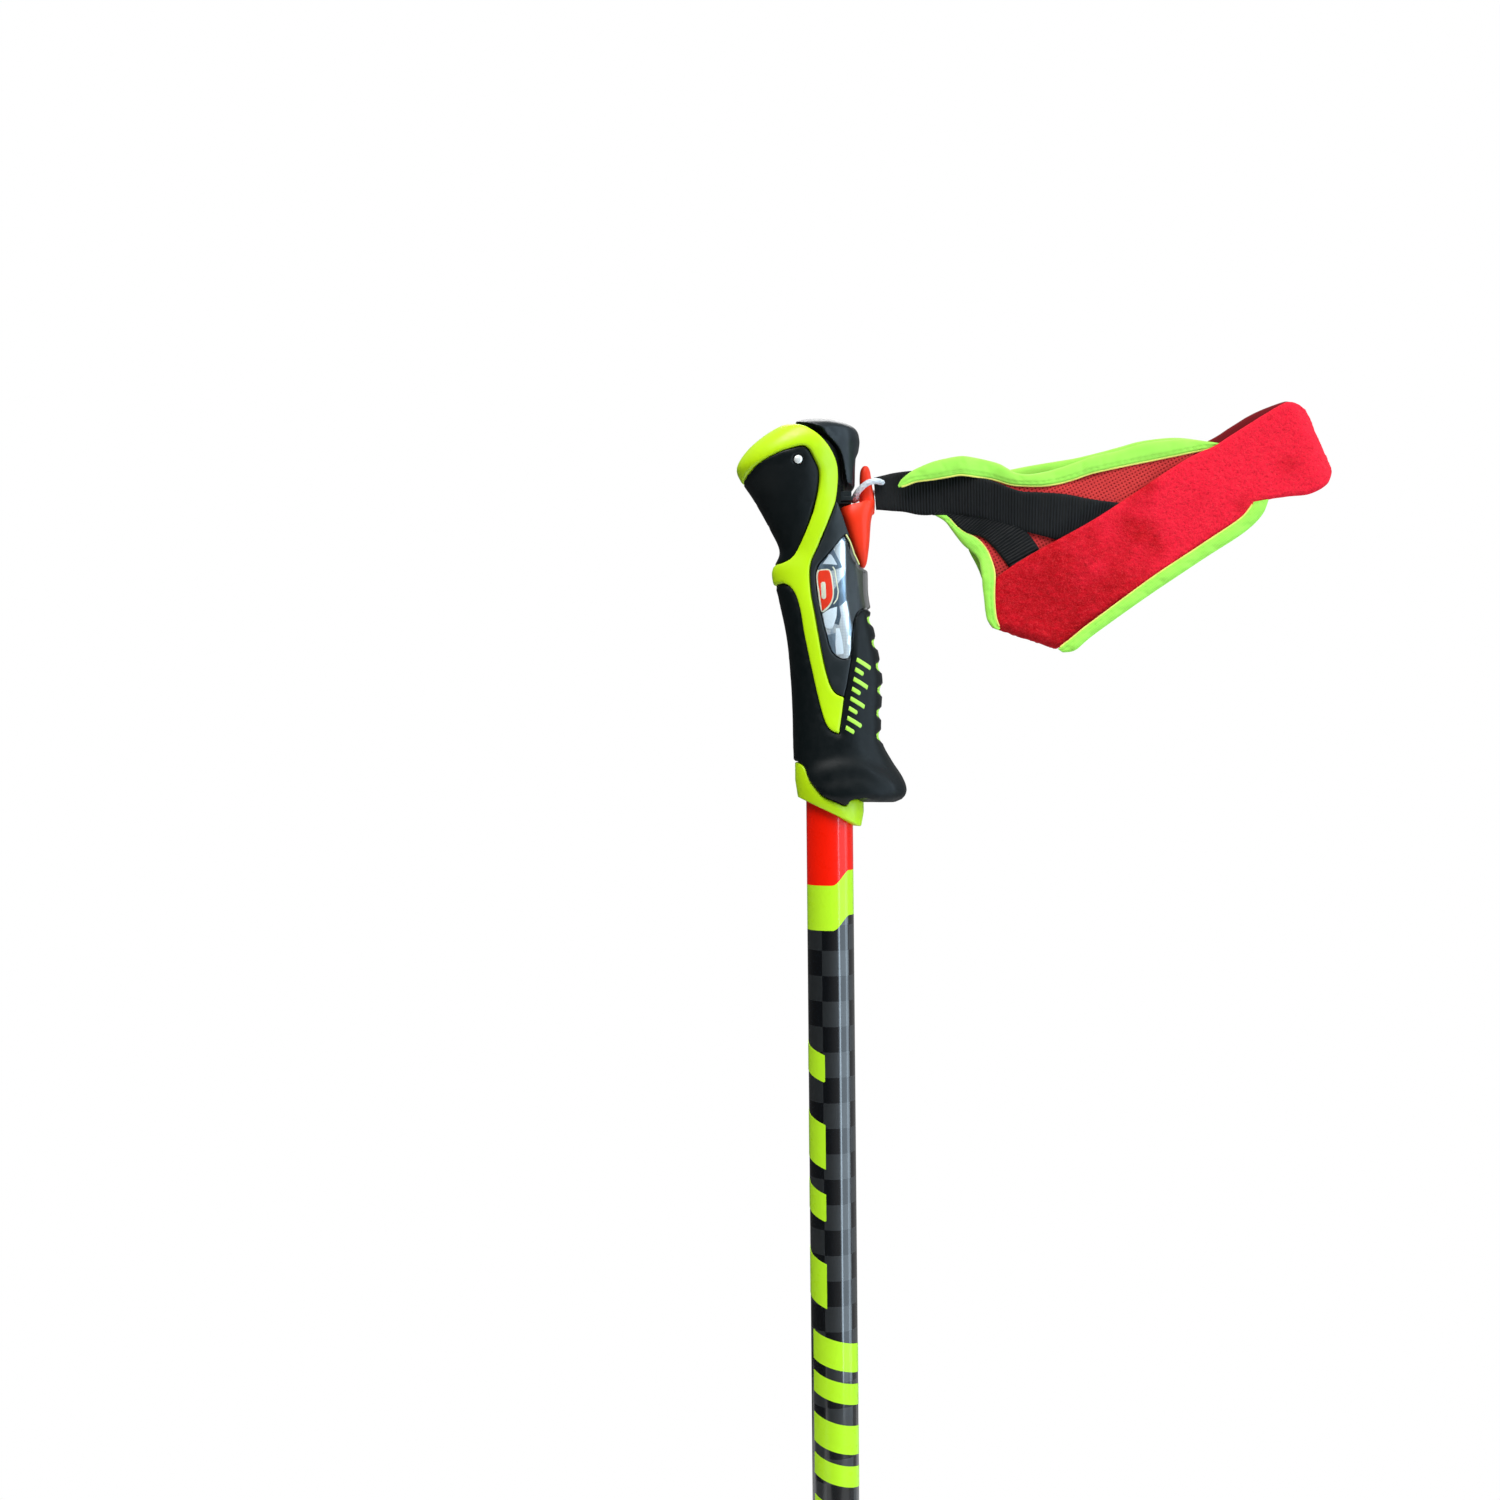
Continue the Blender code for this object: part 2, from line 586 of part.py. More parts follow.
def build_lower_body():
    """Finger panel, palm pad and bottom flare: one soft sleeve closed at the rear seam."""
    seam = math.pi * DOMAIN_RADIUS
    top = flat_side([(-40.0, BAND_FRONT_Z)] + FINGER_PANEL_EDGE[::-1] + PAD_FRONT_EDGE[-2:0:-1]
                    + [(5.5, -15.2), (7.2, -7.0), (8.6, 1.0), (9.5, 9.1), (11.0, 15.6), (13.9, 18.7)])
    top = [(s, z - GAP) for s, z in top]
    top.append((seam, PAD_REAR_TOP_Z - GAP))
    bottom = flat_side([(-40.0, -39.5)] + COLLAR_TOP_EDGE + [(18.5, -55.4), (24.0, -55.6)])
    bottom = [(s, z + 2 * GAP) for s, z in bottom]
    bottom.append((seam, FLARE_REAR_BOTTOM_Z))
    side_z = np.linspace(bottom[-1][1], top[-1][1], 15)[1:-1]
    near = top + [(seam, z) for z in side_z[::-1]] + bottom[::-1]
    ring = near + [(-s, z) for s, z in reversed(near) if s > 1e-6]
    flat, triangles = filled([ring], SKIN_GRID)
    merge = list(range(len(flat)))
    for i, (s, z) in enumerate(flat):
        if s < -seam + 1e-4:
            merge[i] = int(np.argmin(np.hypot(flat[:, 0] - seam, flat[:, 1] - z)))

    def core_side(s, z):
        x, y, _ = grip_place(s / DOMAIN_RADIUS, z, SKIN)
        x = min(x, CORE_REAR_X + GAP)
        fade = float(np.interp(z, (SLEEVE_STEP_BOTTOM_Z, SLEEVE_STEP_TOP_Z), (1.0, 0.0)))
        wall = grip_place(s / DOMAIN_RADIUS, z, 0.0)
        bore = min(COLLAR_RADIUS + 0.7, math.hypot(wall[0], wall[1]) - SKIN)
        pull = 1 - fade + fade * bore / math.hypot(x, y)
        return x * pull, y * pull, z

    solid = sheet_solid(flat, triangles, lambda s, z: grip_place(s / DOMAIN_RADIUS, z, 0.0), core_side, merge)
    add_solid("grip_lower_body", *solid, "soft_black")


def collar_top(angle):
    """Upper edge height of the collar at an angle from the finger side."""
    edge = [(math.degrees(math.acos(max(min(-x / COLLAR_RADIUS, 1.0), -1.0))), z)
            for x, z in COLLAR_TOP_EDGE]
    degrees = abs(math.degrees(angle))
    return float(np.interp(degrees, [a for a, _ in edge], [z for _, z in edge]))


def build_collar():
    sides = 40
    slope = -10.5 / 24.5
    rows = []
    for i in range(sides):
        angle = 2 * math.pi * i / sides
        turned_angle = angle if angle <= math.pi else 2 * math.pi - angle
        c, s = -math.cos(angle), -math.sin(angle)
        high = collar_top(turned_angle)
        low = -59.0 + slope * COLLAR_RADIUS * c
        taper = COLLAR_RADIUS - 1.6
        bore = SHAFT_RADIUS + GAP
        rows.append([
            (COLLAR_RADIUS * c, COLLAR_RADIUS * s, high),
            (COLLAR_RADIUS * c, COLLAR_RADIUS * s, (high + low) / 2),
            (taper * c, taper * s, low),
            (bore * c, bore * s, low),
            (bore * c, bore * s, high),
        ])
    count = len(rows[0])
    points = [p for row in rows for p in row]
    faces = []
    for i in range(sides):
        j = (i + 1) % sides
        for k in range(count):
            m = (k + 1) % count
            faces.append([i * count + k, j * count + k, j * count + m, i * count + m])
    add_solid("grip_collar", points, faces, "lime")


# ---------------------------------------------------------------- mechanism

def build_button(body):
    heights = [62, 68, 73, 77, 81, 84, 86.5, 88.5, 90, 91, 91.7, TOP_Z]
    rings = grip_rings(lambda a, h: grip_place(a, h, 0.25), heights, 44)
    button = add_solid("release_button", *loft(rings), "dark_plastic", body)
    side = cutter("keep_button_side", *prism(BUTTON_OUTLINE, 40.0), body)
    combine(button, side, "INTERSECT")
    arm = cutter("button_arm", *prism(button_arm_outline(), BUTTON_ARM_HALF), body)
    combine(button, arm, "UNION")
    hole = cutter("cut_button_hole", *rod_y(BUTTON_PIN, BUTTON_PIN_RADIUS + GAP, 30.0), body)
    combine(button, hole, "DIFFERENCE")


def build_pins_and_springs():
    add_solid("button_pin", *rod_y(BUTTON_PIN, BUTTON_PIN_RADIUS, BUTTON_PIN_HALF), "steel")
    add_solid("hook_pin", *rod_y(HOOK_PIN, HOOK_PIN_RADIUS, HOOK_PIN_HALF, 14), "steel")
    coil = torsion_coil(BUTTON_PIN, BUTTON_ARM_HALF + 0.6, 0.6, 2.5, BUTTON_SPRING_RADIUS, 0.25, (0.2, 0.8))
    add_solid("button_spring", *coil, "steel")
    coil = torsion_coil(HOOK_PIN, HOOK_STEM_HALF + 0.6, 0.6, 2.5, HOOK_SPRING_RADIUS, 0.25, (0.2, 0.8))
    add_solid("hook_spring", *coil, "steel")


def build_latch(body):
    """Two lugs on one spine that close the strap slot."""
    lug_gap = LATCH_TOP_Z - LATCH_BOTTOM_Z - 2 * LATCH_LUG
    spine_x = LATCH_FRONT_X + LATCH_SPINE
    outline = [
        (LATCH_FRONT_X, LATCH_BOTTOM_Z), (LATCH_REAR_X, LATCH_BOTTOM_Z),
        (LATCH_REAR_X, LATCH_BOTTOM_Z + LATCH_LUG), (spine_x, LATCH_BOTTOM_Z + LATCH_LUG),
        (spine_x, LATCH_BOTTOM_Z + LATCH_LUG + lug_gap), (LATCH_REAR_X, LATCH_BOTTOM_Z + LATCH_LUG + lug_gap),
        (LATCH_REAR_X, LATCH_TOP_Z), (LATCH_FRONT_X, LATCH_TOP_Z),
    ]
    add_solid("strap_latch", *prism(outline, LATCH_HALF), "core_black", body)


# Hook from its foot to the top of its horn: height, finger side, palm side, half width
HOOK_STATIONS = [
    (35.2, 13.8, 15.0, 1.6),
    (38.0, 12.4, 15.4, 5.0),
    (43.0, 10.2, 15.8, 7.4),
    (48.5, 7.8, 16.2, 9.0),
    (54.0, 5.9, 17.0, 9.6),
    (57.2, 4.7, 18.2, 9.2),
    (59.2, 4.3, 18.6, 8.4),
    (60.6, 12.4, 18.7, 3.3),
    (65.0, 12.9, 18.1, 3.0),
    (70.0, 12.8, 17.2, 2.9),
    (73.3, 13.4, 16.6, 2.3),
    (74.7, 14.5, 15.7, 1.0),
]


def build_hook(body):
    rings = []
    for height, front, rear, half in HOOK_STATIONS:
        centre, long_axis = (front + rear) / 2, (rear - front) / 2
        ring = []
        for i in range(28):
            angle = 2 * math.pi * i / 28
            c, s = math.cos(angle), math.sin(angle)
            ring.append((centre - long_axis * math.copysign(abs(c) ** 0.7, c),
                         -half * math.copysign(abs(s) ** 0.7, s), height))
        rings.append(ring)
    hook = add_solid("strap_hook", *loft(rings), "signal_red", body)
    stem = arc(HOOK_PIN, HOOK_STEM_RADIUS, 120, 300, 8) + [(13.6, 39.5), (13.6, 48.0)]
    combine(hook, cutter("hook_stem", *prism(stem, HOOK_STEM_HALF), body), "UNION")
    hole = cutter("cut_hook_hole", *rod_y(HOOK_PIN, HOOK_PIN_RADIUS + GAP, 30.0, 16), body)
    combine(hook, hole, "DIFFERENCE")


# ---------------------------------------------------------------- strap

# The cord passes from the neck round the front of the horn and back, in a near-round ring
CORD_NEAR_SIDE = [
    (25.0, 0.0, 69.5), (21.4, -0.1, 69.6), (19.6, -2.4, 69.2), (17.4, -4.4, 67.9), (14.6, -4.8, 65.4),
    (12.2, -3.5, 63.2), (11.2, -1.6, 62.4),
]
CORD_FAR_SIDE = [
    (11.2, 1.6, 62.4), (12.2, 3.5, 62.8), (14.6, 4.8, 63.8), (17.4, 4.5, 65.1), (20.0, 2.3, 66.2),
    (21.4, 0.1, 66.4), (25.0, 0.0, 66.3),
]

NECK_FRONT = [(19.5, 58.1), (19.5, 62.4), (22.2, 64.6), (22.6, 70.6), (24.4, 72.9)]


def neck_outline():
    """Side view of the two plies that hold the cord, round about the strap's pivot."""
    end = arc(STRAP_PIVOT, NECK_END_RADIUS, 70, -70, 14)
    return NECK_FRONT + end + [(27.0, 56.9)]


def build_loop(body):
    path = smooth_through(CORD_NEAR_SIDE + [(10.9, 0.0, 62.3)] + CORD_FAR_SIDE, 3)
    add_solid("cord_loop", *tube_along(path, CORD_RADIUS), "cord_white", body)
    for side, name in ((-1, "neck_ply_left"), (1, "neck_ply_right")):
        points, faces = prism(neck_outline(), PLY / 2)
        points = [(x, y + side * (NECK_INNER + PLY / 2), z) for x, y, z in points]
        add_solid(name, points, faces, "webbing_black", body)


def smooth_share(value, start, end):
    """0 before the start, 1 past the end, smooth between."""
    share = min(max((value - start) / (end - start), 0.0), 1.0)
    return share * share * (3 - 2 * share)


def wrist_spread(x):
    """Half the distance between the strap's two layers: closed at the neck, open at the wrist."""
    closed = NECK_INNER + PLY / 2
    return closed + (WRIST_HALF - closed) * smooth_share(x, 40.0, 85.0)


def strap_layer(name, outline, side, look, body, thickness, out=0.0, over_neck=0.0, shift=0.0):
    """A flat panel in side view, laid on the near or far layer, and lifted over the neck."""
    flat, triangles = filled([outline], STRAP_GRID)

    def surface(x, z, level):
        lift = over_neck * (1 - smooth_share(x, 52.0, 64.0))
        return x, side * (wrist_spread(x) + out + lift + level), z + shift

    solid = sheet_solid(flat, triangles, lambda x, z: surface(x, z, thickness / 2),
                        lambda x, z: surface(x, z, -thickness / 2))
    add_solid(name, *solid, look, body)


TOP_EDGE_OUTER = [(33.5, 71.7), (43.1, 75.4), (52.7, 76.9), (62.2, 75.2), (70.6, 72.3), (79.4, 71.3),
                  (89.0, 73.3), (104.3, 77.5), (123.5, 81.6), (138.8, 82.6), (146.0, 80.6)]
TOP_EDGE_INNER = [(35.6, 67.4), (50.7, 69.2), (62.2, 68.4), (70.8, 66.2), (81.3, 64.9), (94.7, 65.9),
                  (108.1, 68.7), (123.4, 72.2), (138.5, 76.1)]
LEFT_EDGE_OUTER = [(42.4, 54.2), (50.6, 45.4), (55.4, 39.1), (58.6, 31.4), (60.0, 21.8), (61.2, 11.6)]
LEFT_EDGE_INNER = [(45.8, 54.0), (52.8, 47.9), (60.1, 39.0), (63.4, 29.4), (64.0, 20.0), (64.1, 10.2)]
BAND_UPPER_EDGE = [(64.5, 10.0), (64.8, 29.3), (102.9, 52.8), (134.3, 73.1), (153.5, 83.2),
                   (170.7, 93.7), (180.0, 95.6), (184.6, 90.4)]
BAND_LOWER_EDGE = [(86.8, 2.4), (97.5, 10.5), (122.5, 28.6), (157.0, 51.1), (166.5, 58.4),
                   (180.0, 60.4), (190.6, 64.6), (193.6, 72.0)]
WEB_UPPER_EDGE = [(37.2, 72.2), (51.0, 69.0), (66.3, 65.8), (81.6, 62.3), (91.2, 61.1), (112.0, 58.7)]
WEB_LOWER_EDGE = [(100.0, 50.6), (90.3, 44.9), (85.3, 45.7), (77.6, 47.6), (63.0, 55.0), (52.0, 57.2)]
LOWER_BRANCH = [(48.0, 54.6), (53.4, 50.8), (58.8, 45.6), (70.0, 34.6), (82.0, 41.9), (76.6, 46.6),
                (62.0, 53.8), (52.4, 55.8)]
BOTTOM_EDGE_OUTER = [(90.4, 1.9), (94.5, 2.6), (100.1, 7.4), (119.4, 21.3), (142.5, 36.4), (157.9, 46.2),
                     (164.9, 53.0), (167.2, 57.2)]


def ribbon(outer, inner, steps=3):
    """Closed outline between two edge curves that run the same way."""
    return smooth_through(outer, steps) + smooth_through(inner, steps)[::-1]


def spread_evenly(points, count):
    """Points at equal steps along a chain of straight edges."""
    chain = np.array(points, dtype=float)
    walked = np.concatenate([[0.0], np.cumsum(np.linalg.norm(np.diff(chain, axis=0), axis=1))])
    steps = np.linspace(0.0, walked[-1], count + 1)
    return np.stack([np.interp(steps, walked, chain[:, k]) for k in (0, 1)], axis=1)


def build_band(body):
    """Closed wrist ring: near side, round end, far side and fold, as one wall."""
    columns = 26
    rows = 5
    upper = spread_evenly(BAND_UPPER_EDGE, 60)
    lower = spread_evenly(BAND_LOWER_EDGE, 60)
    middle = (upper + lower) / 2
    walked = np.concatenate([[0.0], np.cumsum(np.linalg.norm(np.diff(middle, axis=0), axis=1))])
    length = walked[-1]
    ends = 6
    fractions = [0.5 * (1 - math.cos(math.pi / 2 * i / ends)) * 2 * WRIST_HALF / length for i in range(ends)]
    inner_part = np.linspace(2 * WRIST_HALF / length * 0.5, 1 - 2 * WRIST_HALF / length * 0.5, columns)
    fractions = sorted({round(float(f), 6) for f in [*fractions, *inner_part, *[1 - f for f in fractions]]})

    def ring_point(fraction, across, side, level):
        walk = fraction * length
        p_up = np.array([np.interp(walk, walked, upper[:, k]) for k in (0, 1)])
        p_low = np.array([np.interp(walk, walked, lower[:, k]) for k in (0, 1)])
        spot = p_low + (p_up - p_low) * across
        reach = min(walk, length - walk)
        radius = WRIST_HALF
        closeness = max(1 - reach / radius, 0.0)
        spread = radius * math.sqrt(max(1 - closeness ** 2, 0.0))
        outward = np.array([0.0, 0.0])
        if reach < radius:
            index = min(int(np.searchsorted(walked, walk)), len(walked) - 2)
            ahead = middle[index + 1] - middle[index]
            ahead = ahead / np.linalg.norm(ahead)
            outward = ahead * closeness * (1 if walk > length / 2 else -1)
        share = spread / radius
        spot = spot + outward * level
        return spot[0], side * (spread + level * share), spot[1]

    loop = [(f, -1) for f in fractions] + [(f, 1) for f in fractions[-2:0:-1]]
    rings = []
    for fraction, side in loop:
        ring = [ring_point(fraction, r / rows, side, BAND_WALL / 2) for r in range(rows + 1)]
        ring += [ring_point(fraction, r / rows, side, -BAND_WALL / 2) for r in range(rows, -1, -1)]
        rings.append(ring)
    count = len(rings[0])
    points = [p for ring in rings for p in ring]
    faces = []
    for i in range(len(rings)):
        j = (i + 1) % len(rings)
        for k in range(count):
            m = (k + 1) % count
            faces.append([i * count + k, j * count + k, j * count + m, i * count + m])
    add_solid("wrist_band", points, faces, "band_red", body)


def build_strap(body):
    tongue = arc(STRAP_PIVOT, 4.8, 90, 270, 10) + [(44.0, 57.5), (47.0, 64.0), (44.0, 70.6)]
    add_solid("strap_tongue", *prism(tongue, TONGUE_HALF), "webbing_black", body)
    bite = arc(STRAP_PIVOT, NECK_END_RADIUS + 0.4, -62, 54, 12)
    upper_web = smooth_through(WEB_UPPER_EDGE, 2)
    mesh_top = smooth_through(TOP_EDGE_INNER[1:], 2)
    mesh_left = smooth_through(LEFT_EDGE_INNER[:4], 2)
    mesh_panel = inset([(48.0, 60.0)] + list(mesh_top) + [(134.0, 73.2), (102.9, 53.1), (65.2, 29.8)]
                       + list(mesh_left)[::-1][1:], 0.35)
    for side, tag in ((-1, "left"), (1, "right")):
        web_out = WALL / 2 + GAP + PLY / 2
        outline = [*bite, *upper_web[1:], *WEB_LOWER_EDGE]
        strap_layer("webbing_upper_" + tag, inset(outline, 0.2), side, "webbing_black", body, PLY, web_out)
        strap_layer("webbing_lower_" + tag, inset(LOWER_BRANCH, 0.2), side, "webbing_black", body, PLY, web_out)
        strap_layer("mesh_panel_" + tag, mesh_panel, side, "mesh_red", body, WALL)
        shift = 0.0 if side < 0 else 2.2
        top = inset(ribbon(TOP_EDGE_OUTER, TOP_EDGE_INNER, 2), 0.15)
        strap_layer("binding_top_" + tag, top, side, "binding_lime", body, BINDING, over_neck=4.4, shift=shift)
        left = inset(ribbon(LEFT_EDGE_OUTER, LEFT_EDGE_INNER, 2), 0.3)
        strap_layer("binding_thumb_" + tag, left, side, "binding_lime", body, BINDING)
        bottom = inset(ribbon(BOTTOM_EDGE_OUTER, BAND_LOWER_EDGE[:5], 2), 0.5)
        strap_layer("binding_bottom_" + tag, bottom, side, "binding_lime", body, BINDING)


# ---------------------------------------------------------------- shaft and tip

def build_shaft():
    inner, end_inner = SHAFT_RADIUS - SHAFT_WALL, SHAFT_END_RADIUS - SHAFT_WALL
    profile = [(SHAFT_END_RADIUS, SHAFT_BOTTOM_Z), (SHAFT_RADIUS, SHAFT_TAPER_Z), (SHAFT_RADIUS, SHAFT_TOP_Z),
               (inner, SHAFT_TOP_Z), (inner, SHAFT_TAPER_Z), (end_inner, SHAFT_BOTTOM_Z)]
    add_solid("shaft_tube", *turned(profile, 36), "carbon")
    plug = [(inner - GAP, SHAFT_TOP_Z - PLUG_LENGTH), (inner - GAP, SHAFT_TOP_Z - GAP)]
    add_solid("shaft_plug", *turned_solid(plug, 24), "core_black")


def build_tip():
    shaft_at_tip = SHAFT_END_RADIUS + GAP
    seat_top = SHAFT_BOTTOM_Z + 22.0
    ferrule = [
        (3.0, TIP_Z + 12.0), (4.6, TIP_Z + 14.0), (6.2, BASKET_Z - 6.0), (FERRULE_RADIUS, BASKET_Z - 6.0),
        (FERRULE_RADIUS, BASKET_Z - 2.0), (6.9, BASKET_Z - 2.0), (6.9, BASKET_Z + 9.0), (8.0, BASKET_Z + 12.0),
        (7.4, seat_top), (shaft_at_tip + 0.3, seat_top), (shaft_at_tip + 0.3, SHAFT_BOTTOM_Z - GAP),
        (3.0, SHAFT_BOTTOM_Z - GAP),
    ]
    add_solid("tip_ferrule", *turned(ferrule, 32), "core_black")
    basket = [
        (7.2, BASKET_Z - 1.6), (FERRULE_RADIUS + 0.6, BASKET_Z - 1.6),
        (FERRULE_RADIUS + 0.6, BASKET_Z - BASKET_SEAT), (12.0, BASKET_Z - BASKET_SEAT),
        (BASKET_RADIUS - 1.0, BASKET_Z + 2.4),
        (BASKET_RADIUS, BASKET_Z + 3.6), (BASKET_RADIUS - 1.6, BASKET_Z + 5.2), (11.5, BASKET_Z + 2.0),
        (10.0, BASKET_Z + 8.0), (7.2, BASKET_Z + 8.0),
    ]
    add_solid("snow_basket", *turned(basket, 40), "lime")
    stud = [(CARBIDE_RADIUS, TIP_Z + 4.0), (2.7, TIP_Z + 11.4), (2.7, TIP_Z + 34.0)]
    add_solid("tip_stud", *turned_solid(stud, 20), "steel")
    point = [(1.8, TIP_Z), (CARBIDE_RADIUS, TIP_Z + 0.8), (CARBIDE_RADIUS, TIP_Z + 3.7)]
    add_solid("carbide_tip", *turned_solid(point, 20), "carbide")


def main():
    clear_scene()
    build_shaft()
    build_tip()
    build_core()
    build_frame()
    build_head_panel()
    build_bezels()
    build_window()
    build_lower_body()
    build_collar()
    build_pins_and_springs()
    build_button(pivot_empty("button_axis", BUTTON_PIN[0], 0, BUTTON_PIN[1]))
    build_latch(pivot_empty("latch_slide", LATCH_FRONT_X, 0, LATCH_BOTTOM_Z))
    hook_axis = pivot_empty("hook_axis", HOOK_PIN[0], 0, HOOK_PIN[1])
    build_hook(hook_axis)
    loop_axis = pivot_empty("loop_axis", HORN_AXIS_X, 0, STRAP_PIVOT[1], hook_axis)
    build_loop(loop_axis)
    strap_axis = pivot_empty("strap_axis", STRAP_PIVOT[0], 0, STRAP_PIVOT[1], loop_axis)
    build_strap(strap_axis)
    build_band(strap_axis)


main()
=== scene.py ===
"""Looks of the alpine ski pole: fine surfaces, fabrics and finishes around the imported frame.

Outlines are side views (x, z) in millimetres in the frame of the CAD model: +Z runs up the
shaft, -X is the finger side, +X the palm side and -Y the near side.  They are turned into
metres when a mesh is made.
"""
import math

import bmesh
import bpy
import numpy as np
from mathutils import Matrix, Vector, geometry, noise


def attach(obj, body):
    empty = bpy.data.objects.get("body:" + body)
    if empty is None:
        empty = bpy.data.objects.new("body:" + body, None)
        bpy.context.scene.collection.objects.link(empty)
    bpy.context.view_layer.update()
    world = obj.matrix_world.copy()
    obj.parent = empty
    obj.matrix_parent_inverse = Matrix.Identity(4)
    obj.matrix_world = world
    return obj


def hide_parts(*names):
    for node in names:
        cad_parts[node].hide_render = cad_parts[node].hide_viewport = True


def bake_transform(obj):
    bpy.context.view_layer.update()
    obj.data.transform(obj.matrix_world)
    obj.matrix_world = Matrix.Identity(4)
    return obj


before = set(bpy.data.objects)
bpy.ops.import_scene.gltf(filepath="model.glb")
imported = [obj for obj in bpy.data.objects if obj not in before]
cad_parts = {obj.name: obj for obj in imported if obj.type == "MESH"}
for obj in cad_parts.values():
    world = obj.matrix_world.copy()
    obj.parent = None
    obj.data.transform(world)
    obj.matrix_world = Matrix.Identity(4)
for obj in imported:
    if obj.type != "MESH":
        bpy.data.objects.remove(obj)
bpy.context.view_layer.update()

MM = 0.001

# Grip
TOP_Z = 92.0
SKIN = 2.2
GAP = 0.3
ROUNDNESS = 2.3
DOMAIN_RADIUS = 16.0
SEAM = math.pi * DOMAIN_RADIUS
FINE = 1.3
EDGE_STEP = 0.8
ROLL = 0.7
BUTTON_PIN = (-11.5, 74.0)
PIN_RADIUS = 1.6
COLLAR_RADIUS = 13.2

# Shaft and tip
SHAFT_RADIUS = 9.0
SHAFT_END_RADIUS = 5.5
SHAFT_TOP_Z = 30.0
SHAFT_TAPER_Z = -560.0
TIP_Z = TOP_Z - 1200.0
SHAFT_BOTTOM_Z = TIP_Z + 70.0
BASKET_Z = TIP_Z + 52.0

# Strap
NECK_HALF = 2.25
WRIST_HALF = 7.6
WEB_OUT = 1.65
PLY = 1.2

GRIP_STATIONS = [
    (-57.0, -12.5, 23.0, 13.4),
    (-54.0, -13.0, 28.2, 16.2),
    (-50.8, -13.3, 29.8, 16.8),
    (-46.0, -13.6, 28.4, 15.8),
    (-39.0, -13.7, 24.0, 14.0),
    (-32.0, -14.2, 20.6, 13.5),
    (-20.0, -14.4, 20.4, 13.3),
    (-8.0, -14.9, 20.9, 13.7),
    (8.0, -16.3, 18.4, 13.9),
    (24.0, -19.4, 15.5, 13.2),
    (33.5, -21.5, 15.2, 12.7),
    (41.5, -18.6, 14.5, 12.9),
    (50.0, -22.0, 13.6, 13.8),
    (62.0, -28.5, 12.0, 16.0),
    (70.0, -33.6, 12.1, 18.5),
    (74.0, -34.7, 12.2, 20.0),
    (79.5, -31.4, 12.6, 21.0),
    (84.5, -25.8, 13.0, 20.4),
    (88.5, -19.2, 11.0, 18.0),
    (91.0, -12.2, 3.8, 11.5),
    (TOP_Z, -7.5, -1.0, 4.5),
]


# ---------------------------------------------------------------- curves and flat areas

def smooth_through(points, steps, closed=False):
    """Catmull-Rom curve through given points, with steps per span."""
    count = len(points)
    rows = np.array(points, dtype=float)
    result = []
    for i in range(count if closed else count - 1):
        if closed:
            a, b, c, d = (rows[(i + k) % count] for k in (-1, 0, 1, 2))
        else:
            a, b, c, d = (rows[min(max(i + k, 0), count - 1)] for k in (-1, 0, 1, 2))
        for j in range(steps):
            t = j / steps
            result.append(0.5 * (2 * b + (c - a) * t + (2 * a - 5 * b + 4 * c - d) * t ** 2
                                 + (3 * b - a - 3 * c + d) * t ** 3))
    if not closed:
        result.append(rows[-1])
    return result


def arc(centre, radius, start, end, steps):
    """Points on an arc in the side view, angles in degrees from +X towards +Z."""
    angles = [math.radians(start + (end - start) * i / steps) for i in range(steps + 1)]
    return [(centre[0] + radius * math.cos(a), centre[1] + radius * math.sin(a)) for a in angles]


def walked(chain):
    """Distance walked along a chain of points, at each of them."""
    return np.concatenate([[0.0], np.cumsum(np.linalg.norm(np.diff(chain, axis=0), axis=1))])


def evenly(points, step=None, count=None, closed=False):
    """Points at equal steps along a chain."""
    chain = np.array(points, dtype=float)
    if closed:
        chain = np.vstack([chain, chain[:1]])
    along = walked(chain)
    count = count or max(int(round(along[-1] / step)), 2)
    stops = np.linspace(0.0, along[-1], count + 1)
    spread = np.stack([np.interp(stops, along, chain[:, k]) for k in range(chain.shape[1])], axis=1)
    return spread[:-1] if closed else spread


def station_value(stations, height):
    """Smooth values between the rows of a station table, by the first column."""
    heights = [row[0] for row in stations]
    height = min(max(height, heights[0]), heights[-1])
    i = min(max(int(np.searchsorted(heights, height)) - 1, 0), len(stations) - 2)
    lower, upper = np.array(stations[i]), np.array(stations[i + 1])
    before = np.array(stations[max(i - 1, 0)])
    after = np.array(stations[min(i + 2, len(stations) - 1)])
    span = upper[0] - lower[0]
    t = (height - lower[0]) / span
    slope_low = (upper - before) / (upper[0] - before[0]) * span
    slope_high = (after - lower) / (after[0] - lower[0]) * span
    value = ((2 * t ** 3 - 3 * t ** 2 + 1) * lower + (t ** 3 - 2 * t ** 2 + t) * slope_low
             + (3 * t ** 2 - 2 * t ** 3) * upper + (t ** 3 - t ** 2) * slope_high)
    return value[1:]


def smooth_share(value, start, end):
    """0 before the start, 1 past the end, smooth between; takes arrays too."""
    share = np.clip((value - start) / (end - start), 0.0, 1.0)
    return share * share * (3 - 2 * share)


def inside(rings, points):
    """Even-odd test of points against closed rings."""
    hit = np.zeros(len(points), dtype=bool)
    x, y = points[:, 0], points[:, 1]
    for ring in rings:
        ring = np.asarray(ring)
        for (x0, y0), (x1, y1) in zip(ring, np.roll(ring, -1, axis=0)):
            if y0 != y1:
                crosses = (y0 > y) != (y1 > y)
                hit ^= crosses & (x < x0 + (y - y0) * (x1 - x0) / (y1 - y0))
    return hit


